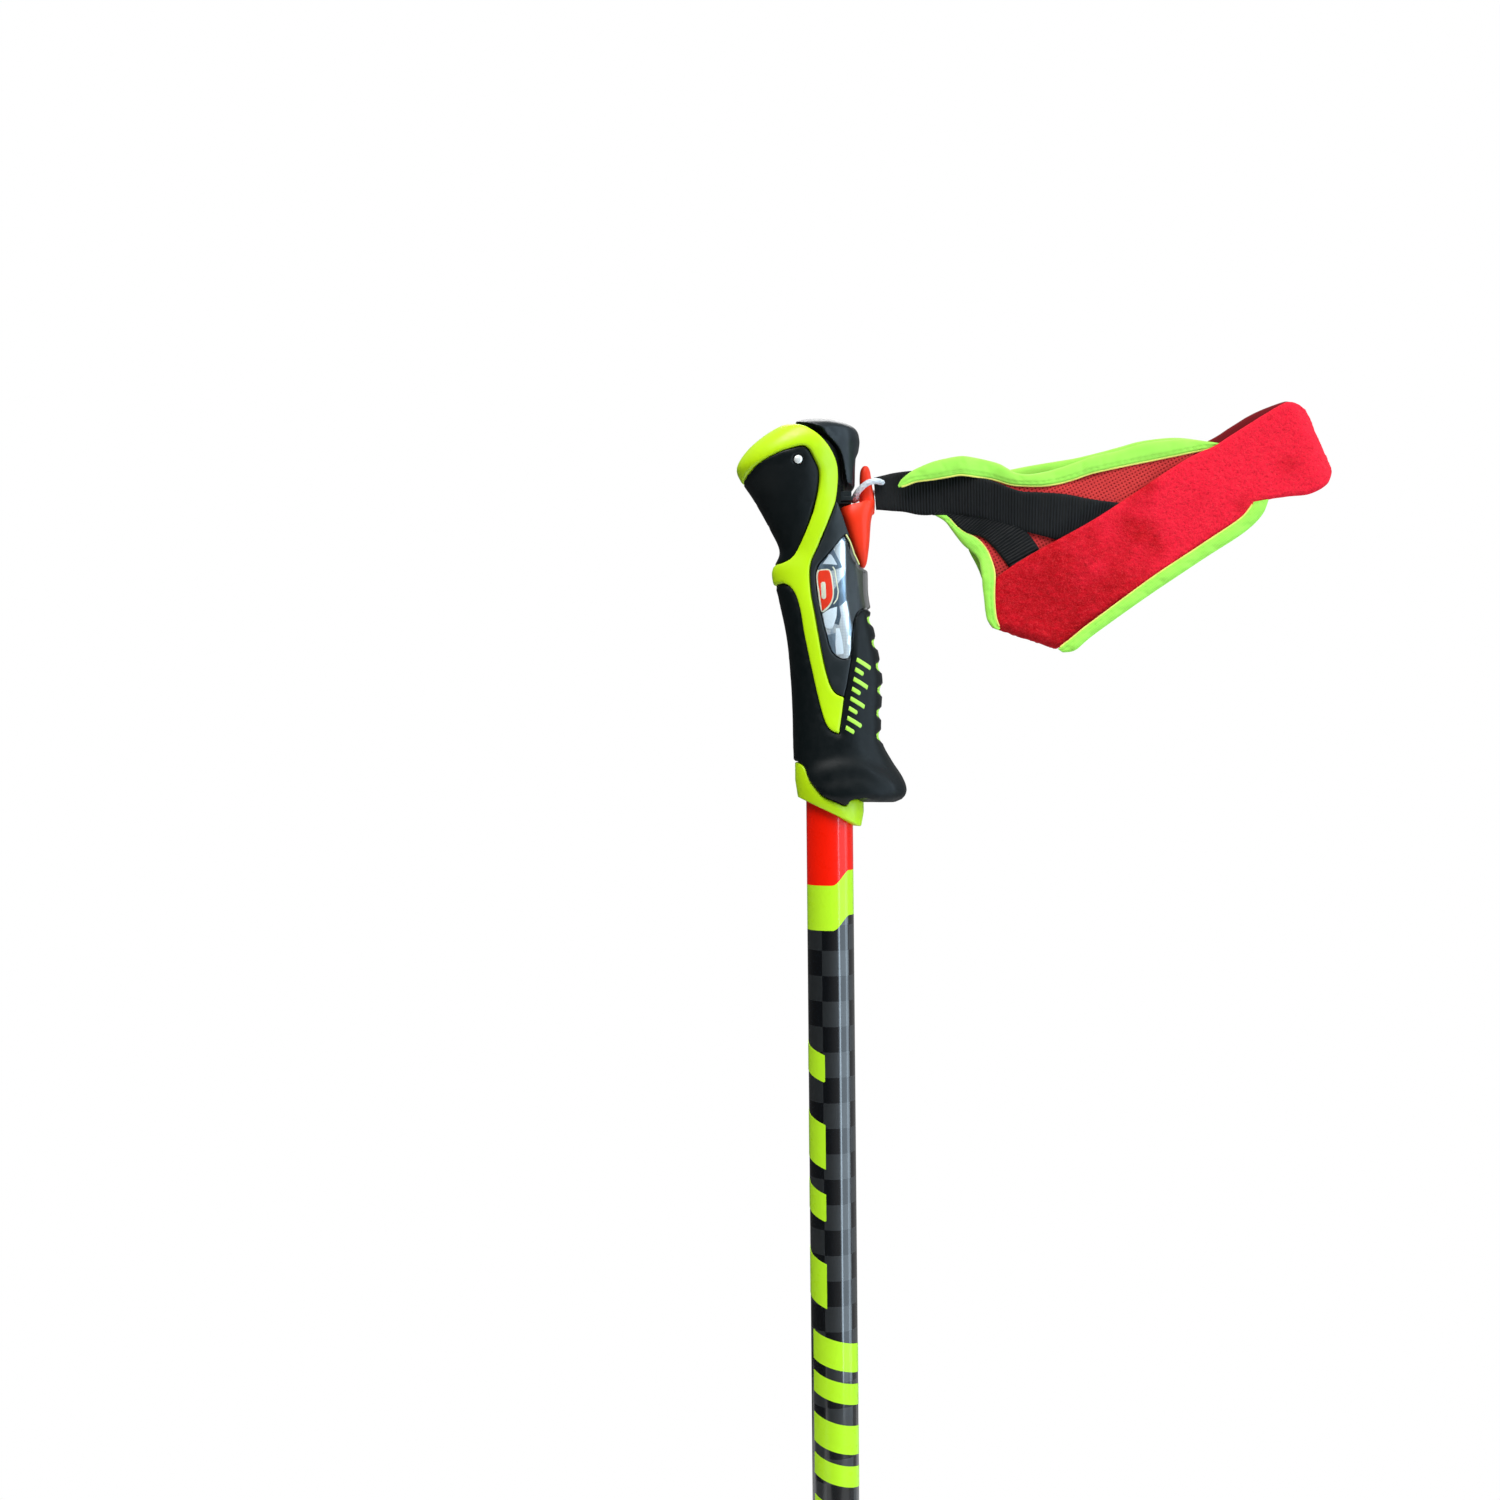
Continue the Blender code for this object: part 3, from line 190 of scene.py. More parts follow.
def chain_distance(chains, points):
    """Shortest distance from each point to open chains of straight edges."""
    nearest = np.full(len(points), np.inf)
    for chain in chains:
        chain = np.asarray(chain, dtype=float)
        for a, b in zip(chain[:-1], chain[1:]):
            along = b - a
            share = np.clip((points - a) @ along / max(along @ along, 1e-12), 0.0, 1.0)
            nearest = np.minimum(nearest, np.linalg.norm(points - a - np.outer(share, along), axis=1))
    return nearest


def closed_chains(rings):
    return [np.vstack([ring, ring[:1]]) for ring in rings]


def inset(ring, distance):
    """Move a closed flat ring inwards by a small distance."""
    ring = np.asarray(ring, dtype=float)
    area = np.sum(ring[:, 0] * np.roll(ring[:, 1], -1) - np.roll(ring[:, 0], -1) * ring[:, 1])
    ahead = np.roll(ring, -1, axis=0) - np.roll(ring, 1, axis=0)
    ahead /= np.maximum(np.linalg.norm(ahead, axis=1, keepdims=True), 1e-9)
    normal = np.stack([-ahead[:, 1], ahead[:, 0]], axis=1) * math.copysign(1.0, area)
    return ring + normal * distance


def filled(rings, spacing, edge_rows=()):
    """Triangulate the area inside the rings: even inner points, and rows that follow the edges."""
    edge_points = np.vstack(rings)
    low, high = edge_points.min(axis=0), edge_points.max(axis=0)
    row_gap = spacing * 0.866
    grid = []
    for r in range(int((high[1] - low[1]) / row_gap) + 1):
        shift = spacing / 2 if r % 2 else 0.0
        for c in range(int((high[0] - low[0]) / spacing) + 1):
            grid.append((low[0] + shift + c * spacing, low[1] + (r + 0.5) * row_gap))
    grid = np.array(grid)
    chains = closed_chains(rings)
    free = max(edge_rows, default=0.0) + spacing * 0.5
    grid = grid[inside(rings, grid)]
    kept = [grid[chain_distance(chains, grid) > free]]
    for row in edge_rows:
        for k, ring in enumerate(rings):
            moved = inset(ring, row if k == 0 else -row)
            moved = moved[inside(rings, moved)]
            if len(moved):
                kept.append(moved[chain_distance(chains, moved) > row * 0.85])
    points = [Vector(p) for p in np.vstack([edge_points, *kept])]
    edges = []
    start = 0
    for ring in rings:
        edges += [(start + i, start + (i + 1) % len(ring)) for i in range(len(ring))]
        start += len(ring)
    made, _, triangles, *_ = geometry.delaunay_2d_cdt(points, edges, [], 0, 1e-7)
    made = np.array([tuple(p) for p in made])
    corners = made[np.array([list(t) for t in triangles])]
    side_a, side_b = corners[:, 1] - corners[:, 0], corners[:, 2] - corners[:, 0]
    area = np.abs(side_a[:, 0] * side_b[:, 1] - side_a[:, 1] * side_b[:, 0])
    keep = inside(rings, corners.mean(axis=1)) & (area > 1e-4)
    return made, [list(t) for t, good in zip(triangles, keep) if good]


# ---------------------------------------------------------------- meshes

def loft(rings, closed_way=False):
    """Skin rings of equal length into a closed body."""
    count = len(rings[0])
    points = [tuple(p) for ring in rings for p in ring]
    faces = []
    if not closed_way:
        faces += [list(range(count))[::-1], list(range(len(points) - count, len(points)))]
    for r in range(len(rings) if closed_way else len(rings) - 1):
        q = (r + 1) % len(rings)
        for i in range(count):
            j = (i + 1) % count
            faces.append([r * count + i, r * count + j, q * count + j, q * count + i])
    return points, faces


def prism(outline, half_width):
    """Side-view outline extruded both ways along Y."""
    return loft([[(x, side * half_width, z) for x, z in outline] for side in (-1, 1)])


def turned(profile, sides, wobble=None):
    """Closed (radius, z) profile turned about the Z axis; wobble may change a point's radius."""
    rings = []
    for k in range(sides):
        a = 2 * math.pi * k / sides
        ring = [(r + (wobble(a, r, z) if wobble else 0.0), z) for r, z in profile]
        rings.append([(r * math.cos(a), r * math.sin(a), z) for r, z in ring])
    return loft(rings, closed_way=True)


def turned_solid(profile, sides):
    """Solid of revolution about the Z axis from (radius, z) rows."""
    turns = [2 * math.pi * k / sides for k in range(sides)]
    return loft([[(r * math.cos(a), r * math.sin(a), z) for a in turns] for r, z in profile])


def tube_rings(path, sides, radius_at):
    """Rings round an open path; radius_at(walk, angle) gives the radius."""
    path = np.asarray(path, dtype=float)
    along = walked(path)
    rings = []
    side_axis = None
    for i, point in enumerate(path):
        ahead = Vector(path[min(i + 1, len(path) - 1)] - path[max(i - 1, 0)]).normalized()
        if side_axis is None:
            side_axis = ahead.orthogonal().normalized()
        side_axis = (side_axis - ahead * side_axis.dot(ahead)).normalized()
        up = ahead.cross(side_axis)
        ring = []
        for k in range(sides):
            a = 2 * math.pi * k / sides
            ring.append(Vector(point) + (side_axis * math.cos(a) + up * math.sin(a)) * radius_at(along[i], a))
        rings.append(ring)
    return rings


def joined(parts):
    """Several (points, faces) bodies as one."""
    points, faces = [], []
    for some_points, some_faces in parts:
        start = len(points)
        points += [tuple(p) for p in some_points]
        faces += [[start + i for i in f] for f in some_faces]
    return points, faces


def sheet_solid(flat, triangles, outer, inner, merge=None):
    """Thicken a triangulated flat area between two placed surfaces, given as point lists."""
    index = list(range(len(flat))) if merge is None else merge
    count = len(flat)
    points = list(outer) + list(inner)
    triangles = [[index[i] for i in t] for t in triangles]
    faces = list(triangles) + [[count + i for i in reversed(t)] for t in triangles]
    border = {}
    for t in triangles:
        for a, b in zip(t, t[1:] + t[:1]):
            if (b, a) in border:
                del border[(b, a)]
            else:
                border[(a, b)] = True
    faces += [[b, a, count + a, count + b] for a, b in border]
    used = sorted({i for f in faces for i in f})
    new_index = {old: new for new, old in enumerate(used)}
    return [points[i] for i in used], [[new_index[i] for i in f] for f in faces]


def mesh_object(name, points, faces, smooth_angle=40):
    mesh = bpy.data.meshes.new(name)
    mesh.from_pydata([Vector(p) * MM for p in points], [], faces)
    work = bmesh.new()
    work.from_mesh(mesh)
    bmesh.ops.remove_doubles(work, verts=work.verts, dist=2e-7)
    bmesh.ops.recalc_face_normals(work, faces=work.faces)
    work.to_mesh(mesh)
    work.free()
    mesh.shade_smooth()
    mesh.set_sharp_from_angle(angle=math.radians(smooth_angle))
    made = bpy.data.objects.new(name, mesh)
    bpy.context.scene.collection.objects.link(made)
    return made


def piece(name, shape, look, body="grip", replaces=(), smooth_angle=40):
    """A visible piece from (points, faces) in millimetres, or from an object already made."""
    made = shape if isinstance(shape, bpy.types.Object) else mesh_object(name, *shape, smooth_angle)
    made.data.materials.clear()
    made.data.materials.append(look)
    if body:
        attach(made, body)
    if replaces:
        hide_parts(*replaces)
    return made


def evaluated(made):
    """Replace an object's mesh by what its modifiers give, and drop the modifiers."""
    graph = bpy.context.evaluated_depsgraph_get()
    mesh = bpy.data.meshes.new_from_object(made.evaluated_get(graph))
    made.modifiers.clear()
    made.data = mesh
    mesh.shade_smooth()
    mesh.set_sharp_from_angle(angle=math.radians(50))
    return made


def combined(made, tool, operation):
    step = made.modifiers.new(operation, "BOOLEAN")
    step.operation = operation
    step.solver = "EXACT"
    step.object = tool
    evaluated(made)
    bpy.data.objects.remove(tool, do_unlink=True)
    return made


def melted(made, voxel, rounds, factor=0.5):
    """Rebuild a solid with an even fine mesh and soften its edges; voxel in millimetres."""
    remesh = made.modifiers.new("remesh", "REMESH")
    remesh.mode = "VOXEL"
    remesh.voxel_size = voxel * MM
    smooth = made.modifiers.new("smooth", "SMOOTH")
    smooth.iterations = rounds
    smooth.factor = factor
    return evaluated(made)


# ---------------------------------------------------------------- materials


def node(tree, kind, inputs=(), **settings):
    """Add a node; inputs go by place or by name, and are values or sockets."""
    made = tree.nodes.new("ShaderNode" + kind)
    for key, value in settings.items():
        setattr(made, key, value)
    for key, value in inputs.items() if isinstance(inputs, dict) else enumerate(inputs):
        if isinstance(value, bpy.types.NodeSocket):
            tree.links.new(value, made.inputs[key])
        elif value is not None:
            made.inputs[key].default_value = value
    return made


def maths(tree, operation, *values):
    return node(tree, "Math", values, operation=operation).outputs[0]


def mix(tree, share, a, b):
    """Colour between a and b."""
    colours = [(*c, 1.0) if isinstance(c, tuple) else c for c in (a, b)]
    return node(tree, "Mix", {0: share, 6: colours[0], 7: colours[1]}, data_type="RGBA").outputs[2]


def ramp(tree, value, low, high, to_low=0.0, to_high=1.0):
    return node(tree, "MapRange", (value, low, high, to_low, to_high),
                interpolation_type="SMOOTHSTEP").outputs[0]


def grain(tree, coords, size, detail=2.0, roughness=0.5):
    """Noise with features of about this size in millimetres."""
    return node(tree, "TexNoise", {"Vector": coords, "Scale": 1 / (size * MM), "Detail": detail,
                                   "Roughness": roughness}).outputs[0]


def bump(tree, height, depth, before=None):
    """Relief with this depth in millimetres."""
    return node(tree, "Bump", {"Height": height, "Distance": depth * MM, "Strength": 1.0,
                               "Normal": before}).outputs[0]


def start(name, roughness, **sockets):
    """A material, its tree, its shader and its object coordinates."""
    made = bpy.data.materials.new("look_" + name)
    made.use_nodes = True
    tree = made.node_tree
    shader = tree.nodes["Principled BSDF"]
    shader.inputs["Roughness"].default_value = roughness
    for key, value in sockets.items():
        shader.inputs[key.replace("_", " ")].default_value = value
    coords = node(tree, "TexCoord").outputs["Object"]
    return made, tree, shader, coords


def moulded(name, colour, roughness, texture=0.35, depth=0.012, mottle=0.07, **sockets):
    """Moulded plastic, rubber or paint: faint mottling, uneven gloss and a fine moulded grain."""
    made, tree, shader, coords = start(name, roughness, **sockets)
    dark = tuple(c * (1 - mottle) for c in colour)
    light = tuple(min(c * (1 + mottle), 1.0) for c in colour)
    broad = grain(tree, coords, 14.0, 3.0)
    tree.links.new(mix(tree, broad, dark, light), shader.inputs["Base Color"])
    uneven = ramp(tree, grain(tree, coords, 3.0, 3.0), 0.25, 0.75, roughness * 0.85, roughness * 1.15)
    tree.links.new(uneven, shader.inputs["Roughness"])
    fine = bump(tree, grain(tree, coords, texture, 2.0), depth)
    tree.links.new(bump(tree, broad, depth * 2, fine), shader.inputs["Normal"])
    return made


def brushed(name, colour, roughness):
    made, tree, shader, coords = start(name, roughness, Metallic=1.0)
    stretched = node(tree, "Mapping", {"Vector": coords, "Scale": (1.0, 0.08, 1.0)}).outputs[0]
    lines = grain(tree, stretched, 0.12, 3.0)
    tree.links.new(mix(tree, lines, tuple(c * 0.8 for c in colour), colour), shader.inputs["Base Color"])
    tree.links.new(ramp(tree, lines, 0.2, 0.8, roughness * 0.7, roughness * 1.3), shader.inputs["Roughness"])
    tree.links.new(bump(tree, lines, 0.004), shader.inputs["Normal"])
    return made


def carbon_cloth(name):
    """Spread-tow checker round the shaft under a glossy clear coat."""
    made, tree, shader, coords = start(name, 0.22, Coat_Weight=1.0, Coat_Roughness=0.10, Coat_IOR=1.75)
    x, y, z = node(tree, "SeparateXYZ", (coords,)).outputs
    turn = maths(tree, "ARCTAN2", x, maths(tree, "MULTIPLY", y, -1.0))
    column = maths(tree, "FLOOR", maths(tree, "DIVIDE",
                                        maths(tree, "ADD", turn, math.radians(25.0) + 4 * math.pi),
                                        math.radians(72.0)))
    row = maths(tree, "FLOOR", maths(tree, "DIVIDE", maths(tree, "ADD", z, 1.3727), 9.7 * MM))
    odd = maths(tree, "FLOORED_MODULO", maths(tree, "ADD", column, row), 2.0)
    along = grain(tree, node(tree, "Mapping", {"Vector": coords, "Scale": (1.0, 1.0, 0.03)}).outputs[0],
                  0.35, 3.0)
    across = grain(tree, node(tree, "Mapping", {"Vector": coords, "Scale": (0.06, 0.06, 1.0)}).outputs[0],
                   0.3, 3.0)
    light = mix(tree, across, (0.0035, 0.005, 0.006), (0.011, 0.015, 0.017))
    dark = mix(tree, along, (0.0003, 0.0006, 0.0012), (0.0015, 0.003, 0.005))
    tree.links.new(mix(tree, odd, dark, light), shader.inputs["Base Color"])
    tree.links.new(ramp(tree, odd, 0.0, 1.0, 0.24, 0.50), shader.inputs["Roughness"])
    tree.links.new(ramp(tree, odd, 0.0, 1.0, 0.10, 0.45), shader.inputs["Specular IOR Level"])
    tree.links.new(bump(tree, maths(tree, "MAXIMUM", along, across), 0.006), shader.inputs["Normal"])
    return made


def foil(name):
    """Silvery foil with a fine square print, turning to dark carbon towards the palm; by the palm edge the
    carbon is painted a lighter olive as light glowing through the clear rim.
    """
    made, tree, shader, coords = start(name, 0.26, Coat_Weight=0.1, Coat_Roughness=0.05)
    x, _, z = node(tree, "SeparateXYZ", (coords,)).outputs
    facets = node(tree, "TexVoronoi", {"Vector": node(tree, "Mapping", {
        "Vector": coords, "Rotation": (0.0, 0.5, 0.0), "Scale": (1.6, 0.8, 1.0)}).outputs[0],
        "Scale": 120.0}, feature="F1").outputs["Color"]
    shade = node(tree, "SeparateColor", (facets,)).outputs[0]
    streak = grain(tree, node(tree, "Mapping", {"Vector": coords, "Rotation": (0.0, -0.5, 0.0),
                                                "Scale": (1.0, 1.0, 0.25)}).outputs[0], 3.0, 2.0)
    tone = maths(tree, "ADD", maths(tree, "MULTIPLY", shade, 0.6), maths(tree, "MULTIPLY", streak, 0.5))
    cool = mix(tree, ramp(tree, tone, 0.25, 0.6), (0.10, 0.15, 0.21), (0.42, 0.55, 0.68))
    silver = mix(tree, ramp(tree, tone, 0.58, 0.7), cool, (0.88, 0.92, 0.94))
    foot = maths(tree, "MULTIPLY", maths(tree, "MINIMUM", maths(tree, "SUBTRACT", z, 22.6 * MM), 0.0), 0.18)
    palm = ramp(tree, maths(tree, "ADD", x, foot), 5.9 * MM, 6.8 * MM)
    # Painted light: a lighter olive band along the palm edge stands for light glowing through the clear rim.
    edge = ramp(tree, maths(tree, "ADD", x, maths(tree, "MULTIPLY", z, 0.18)), 16.1 * MM, 16.7 * MM)
    tree.links.new(ramp(tree, palm, 0.0, 1.0, 0.55, 0.0), shader.inputs["Metallic"])
    tree.links.new(ramp(tree, palm, 0.0, 1.0, 0.24, 0.55), shader.inputs["Roughness"])
    carbon = mix(tree, edge, (0.003, 0.004, 0.005), (0.045, 0.045, 0.024))
    base = mix(tree, palm, silver, carbon)
    line_x = maths(tree, "GREATER_THAN", maths(tree, "PINGPONG", x, 0.55 * MM), 0.46 * MM)
    line_z = maths(tree, "GREATER_THAN", maths(tree, "PINGPONG", z, 0.55 * MM), 0.46 * MM)
    lines = maths(tree, "MULTIPLY", maths(tree, "MAXIMUM", line_x, line_z),
                  ramp(tree, palm, 0.0, 1.0, 0.3, 0.06))
    tree.links.new(mix(tree, lines, base, (0.20, 0.24, 0.27)), shader.inputs["Base Color"])
    tree.links.new(bump(tree, tone, 0.10), shader.inputs["Normal"])
    return made


def clear_plastic(name):
    made, tree, shader, coords = start(name, 0.03, Transmission_Weight=1.0, IOR=1.12)
    shader.inputs["Base Color"].default_value = (0.94, 0.97, 0.98, 1.0)
    tree.links.new(ramp(tree, grain(tree, coords, 4.0), 0.3, 0.7, 0.02, 0.06), shader.inputs["Roughness"])
    tree.links.new(bump(tree, grain(tree, coords, 6.0), 0.02), shader.inputs["Normal"])
    return made


def cloth_look(name, dark, light, thread, depth, roughness=0.9, sheen=0.3, fuzz=(1.0, 1.0, 1.0)):
    """Woven or knitted cloth: crossed threads, colour that changes with them, and sheen."""
    made, tree, shader, coords = start(name, roughness, Sheen_Weight=sheen, Sheen_Roughness=0.4,
                                       Specular_IOR_Level=0.2)
    shader.inputs["Sheen Tint"].default_value = (*fuzz, 1.0)
    turned_coords = node(tree, "Mapping", {"Vector": coords, "Rotation": (0.0, 0.5, 0.0)}).outputs[0]
    warp = node(tree, "TexWave", {"Vector": turned_coords, "Scale": 0.32 / (thread * MM), "Distortion": 1.2,
                                  "Detail": 2.0}, wave_type="BANDS", bands_direction="X").outputs[1]
    weft = node(tree, "TexWave", {"Vector": turned_coords, "Scale": 0.32 / (thread * MM), "Distortion": 1.2,
                                  "Detail": 2.0}, wave_type="BANDS", bands_direction="Z").outputs[1]
    weave = maths(tree, "MULTIPLY", warp, weft)
    uneven = grain(tree, coords, 5.0, 4.0)
    tone = maths(tree, "ADD", maths(tree, "MULTIPLY", weave, 0.6), maths(tree, "MULTIPLY", uneven, 0.5))
    tree.links.new(mix(tree, tone, dark, light), shader.inputs["Base Color"])
    tree.links.new(ramp(tree, uneven, 0.2, 0.8, roughness * 0.92, min(roughness * 1.08, 1.0)),
                   shader.inputs["Roughness"])
    tree.links.new(bump(tree, weave, depth), shader.inputs["Normal"])
    return made


def pile_look(name):
    """Looped pile of a hook-and-loop face: lighter loop tips over a deep red ground, with painted shade in
    the hollows of the loop relief and painted light that makes the pile lighter and pinker towards +X.
    """
    made, tree, shader, coords = start(name, 0.95, Sheen_Weight=0.12, Sheen_Roughness=0.5,
                                       Specular_IOR_Level=0.08)
    shader.inputs["Sheen Tint"].default_value = (1.0, 0.25, 0.25, 1.0)
    loops = grain(tree, coords, 0.95, 4.0, 0.7)
    strands = node(tree, "TexNoise",
                   {"Vector": coords, "Scale": 1 / (1.7 * MM), "Detail": 3.0, "Roughness": 0.6,
                                      "Distortion": 2.5}).outputs[0]
    tufts = grain(tree, coords, 3.0, 3.0, 0.6)
    x = node(tree, "SeparateXYZ", (coords,)).outputs[0]
    # Broad patches of nap, plus a ramp along X: painted light that makes the pile lighter and pinker towards
    # +X.
    nap = maths(tree, "ADD", maths(tree, "MULTIPLY", grain(tree, coords, 16.0, 2.0), 0.7),
                ramp(tree, x, 70 * MM, 170 * MM, 0.0, 0.35))
    ground = mix(tree, ramp(tree, tufts, 0.25, 0.75), (0.42, 0.002, 0.006), (0.60, 0.005, 0.014))
    patches_and_painted_light = mix(tree, ramp(tree, nap, 0.35, 0.65, 0.0, 0.9), ground, (0.88, 0.014, 0.040))
    threads = maths(tree, "PINGPONG", strands, 0.11)
    tips = mix(tree, ramp(tree, threads, 0.085, 0.108, 0.0, 0.55), patches_and_painted_light, (0.95, 0.07, 0.075))
    # Painted shade: where the loop relief is low, the pile is painted darker.
    pits_painted_as_shade = mix(tree, ramp(tree, loops, 0.28, 0.50, 0.5, 0.0), tips, (0.30, 0.001, 0.004))
    tree.links.new(pits_painted_as_shade, shader.inputs["Base Color"])
    tree.links.new(ramp(tree, loops, 0.2, 0.8, 0.88, 1.0), shader.inputs["Roughness"])
    rough_tufts = bump(tree, tufts, 0.6)
    tree.links.new(bump(tree, loops, 0.55, rough_tufts), shader.inputs["Normal"])
    return made


def knit_look(name):
    """Spacer mesh: holes painted dark as the shade inside them, between light knit bars, at the pitch of the
    modelled dimples.
    """
    made, tree, shader, coords = start(name, 0.85, Sheen_Weight=0.3, Specular_IOR_Level=0.25)
    shader.inputs["Sheen Tint"].default_value = (1.0, 0.5, 0.4, 1.0)
    hole = hole_field(tree, coords)
    uneven = grain(tree, coords, 7.0, 3.0)
    knit = mix(tree, uneven, (0.46, 0.018, 0.020), (0.66, 0.045, 0.040))
    # Painted shade: the knit's holes get a dark red.
    tree.links.new(mix(tree, ramp(tree, hole, 0.35, 0.75), knit, (0.24, 0.002, 0.004)),
                   shader.inputs["Base Color"])
    tree.links.new(ramp(tree, uneven, 0.2, 0.8, 0.8, 0.95), shader.inputs["Roughness"])
    tree.links.new(bump(tree, grain(tree, coords, 0.25, 2.0), 0.08), shader.inputs["Normal"])
    return made


KNIT_PITCH = 1.30
KNIT_TURN = math.radians(28.0)


def hole_field(tree, coords):
    """The dimple pattern of knit_hole as nodes."""
    x, _, z = node(tree, "SeparateXYZ", (coords,)).outputs
    c, s = math.cos(KNIT_TURN), math.sin(KNIT_TURN)
    u = maths(tree, "ADD", maths(tree, "MULTIPLY", x, c), maths(tree, "MULTIPLY", z, s))
    v = maths(tree, "SUBTRACT", maths(tree, "MULTIPLY", z, c), maths(tree, "MULTIPLY", x, s))
    wave = 2 * math.pi / (KNIT_PITCH * MM)
    cu = maths(tree, "COSINE", maths(tree, "MULTIPLY", u, wave))
    cv = maths(tree, "COSINE", maths(tree, "MULTIPLY", v, wave))
    return maths(tree, "MULTIPLY", maths(tree, "ADD", cu, 1.0),
                 maths(tree, "MULTIPLY", maths(tree, "ADD", cv, 1.0), 0.25))


def knit_hole(x, z):
    """1 at the middle of a hole of the knit, 0 on its bars; millimetres."""
    c, s = math.cos(KNIT_TURN), math.sin(KNIT_TURN)
    wave = 2 * math.pi / KNIT_PITCH
    return (1 + np.cos((x * c + z * s) * wave)) * (1 + np.cos((z * c - x * s) * wave)) / 4


LOOKS = {
    "grip_lime": moulded("grip_lime", (0.50, 0.80, 0.004), 0.36, Specular_IOR_Level=0.35),
    "mark_lime": moulded("mark_lime", (0.42, 0.80, 0.06), 0.45, texture=0.2),
    "soft_black": moulded("soft_black", (0.0026, 0.0050, 0.0056), 0.42, texture=0.25, depth=0.02,
                          Specular_IOR_Level=0.20),
    "dark_plastic": moulded("dark_plastic", (0.010, 0.015, 0.017), 0.44, Specular_IOR_Level=0.35),
    "button_black": moulded("button_black", (0.003, 0.008, 0.011), 0.40, depth=0.006,
                            Specular_IOR_Level=0.35),
    "core_black": moulded("core_black", (0.004, 0.005, 0.005), 0.55, Specular_IOR_Level=0.25),
    "basket_lime": moulded("basket_lime", (0.50, 0.82, 0.02), 0.42),
    "signal_red": moulded("signal_red", (0.97, 0.040, 0.010), 0.40, Specular_IOR_Level=0.25),
    # White of the window's glints: painted highlights.
    "painted_glint_white": moulded("painted_glint_white", (0.78, 0.84, 0.88), 0.30, texture=0.6, depth=0.05, mottle=0.14),
    "badge_cream": moulded("badge_cream", (0.86, 0.83, 0.62), 0.35),
    "edge_yellow": moulded("edge_yellow", (0.78, 0.80, 0.30), 0.40),
    "shaft_red": moulded("shaft_red", (0.92, 0.010, 0.001), 0.30, depth=0.003, Coat_Weight=0.45,
                         Coat_Roughness=0.05,
                         Specular_IOR_Level=0.1),
    "shaft_lime": moulded("shaft_lime", (0.47, 0.84, 0.02), 0.30, depth=0.003, Coat_Weight=0.45,
                          Coat_Roughness=0.05, Specular_IOR_Level=0.1),
    "pin_silver": moulded("pin_silver", (0.80, 0.82, 0.80), 0.30, texture=0.2, depth=0.01, Metallic=0.35),
    "steel": brushed("steel", (0.72, 0.73, 0.74), 0.25),
    "carbide": brushed("carbide", (0.32, 0.33, 0.35), 0.4),
    "carbon": carbon_cloth("carbon"),
    "window_foil": foil("window_foil"),
    "window_clear": clear_plastic("window_clear"),
    "cord_white": cloth_look("cord_white", (0.50, 0.54, 0.58), (0.88, 0.91, 0.93), 0.35, 0.05,
                             roughness=0.75),
    "webbing_black": cloth_look("webbing_black", (0.0003, 0.0005, 0.0006),
                                (0.0050, 0.0068, 0.0074), 0.42, 0.05,
                                roughness=0.60, sheen=0.05),
    "binding_lime": cloth_look("binding_lime", (0.24, 0.66, 0.05), (0.46, 0.93, 0.14), 0.5,
                               0.04, roughness=0.8,
                               fuzz=(0.8, 1.0, 0.6)),
    "stitch_lime": cloth_look("stitch_lime", (0.26, 0.66, 0.06), (0.42, 0.86, 0.14), 0.3, 0.03),
    "lip_yellow": cloth_look("lip_yellow", (0.66, 0.66, 0.10), (0.90, 0.86, 0.24), 0.3, 0.03),
    # Darker red for the wrist band's inner faces: painted shade inside the loop.
    "band_inside_painted_shade": cloth_look("band_inside_painted_shade", (0.10, 0.002, 0.004), (0.26, 0.006, 0.010), 0.5, 0.05),
    "band_red": pile_look("band_red"),
    "mesh_red": knit_look("mesh_red"),
}


def refinish(nodes, look, bevel=0.0):
    """Give carried-over CAD nodes their fine material, and round their edges a little."""
    for name in nodes:
        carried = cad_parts[name]
        if carried.material_slots:
            carried.material_slots[0].material = LOOKS[look]
        else:
            carried.data.materials.append(LOOKS[look])
        if bevel:
            rounded = carried.modifiers.new("rounded edges", "BEVEL")
            rounded.width = bevel * MM
            rounded.segments = 3
            rounded.limit_method = "ANGLE"
            rounded.angle_limit = math.radians(40)


# ---------------------------------------------------------------- grip surface

def grip_place(angle, height, depth):
    """Point on the grip's outer surface, sunk by depth; angle runs from the finger side."""
    front, rear, half = station_value(GRIP_STATIONS, height)
    centre = (front + rear) / 2
    long_axis = max((rear - front) / 2 - depth, 0.5)
    wide_axis = max(half - depth, 0.5)
    c, s = math.cos(angle), math.sin(angle)
    x = centre - long_axis * math.copysign(abs(c) ** (2 / ROUNDNESS), c)
    y = -wide_axis * math.copysign(abs(s) ** (2 / ROUNDNESS), s)
    lift = min(max((height - 80.0) / 10.0, 0.0), 1.0)
    return x, y, height - depth * lift * lift * (3 - 2 * lift)


def grip_angle(x, height):
    """Angle of the near-side surface point that has this x in the side view."""
    front, rear, _ = station_value(GRIP_STATIONS, height)
    ratio = min(max(((front + rear) / 2 - x) / ((rear - front) / 2), -1.0), 1.0)
    return math.acos(math.copysign(abs(ratio) ** (ROUNDNESS / 2), ratio))


def flat_side(outline, rear=False):
    """Side-view outline to the unrolled skin, measured from the front or rear seam."""
    flat = []
    for x, z in outline:
        angle = grip_angle(x, z)
        flat.append(((math.pi - angle if rear else angle) * DOMAIN_RADIUS, z))
    return flat


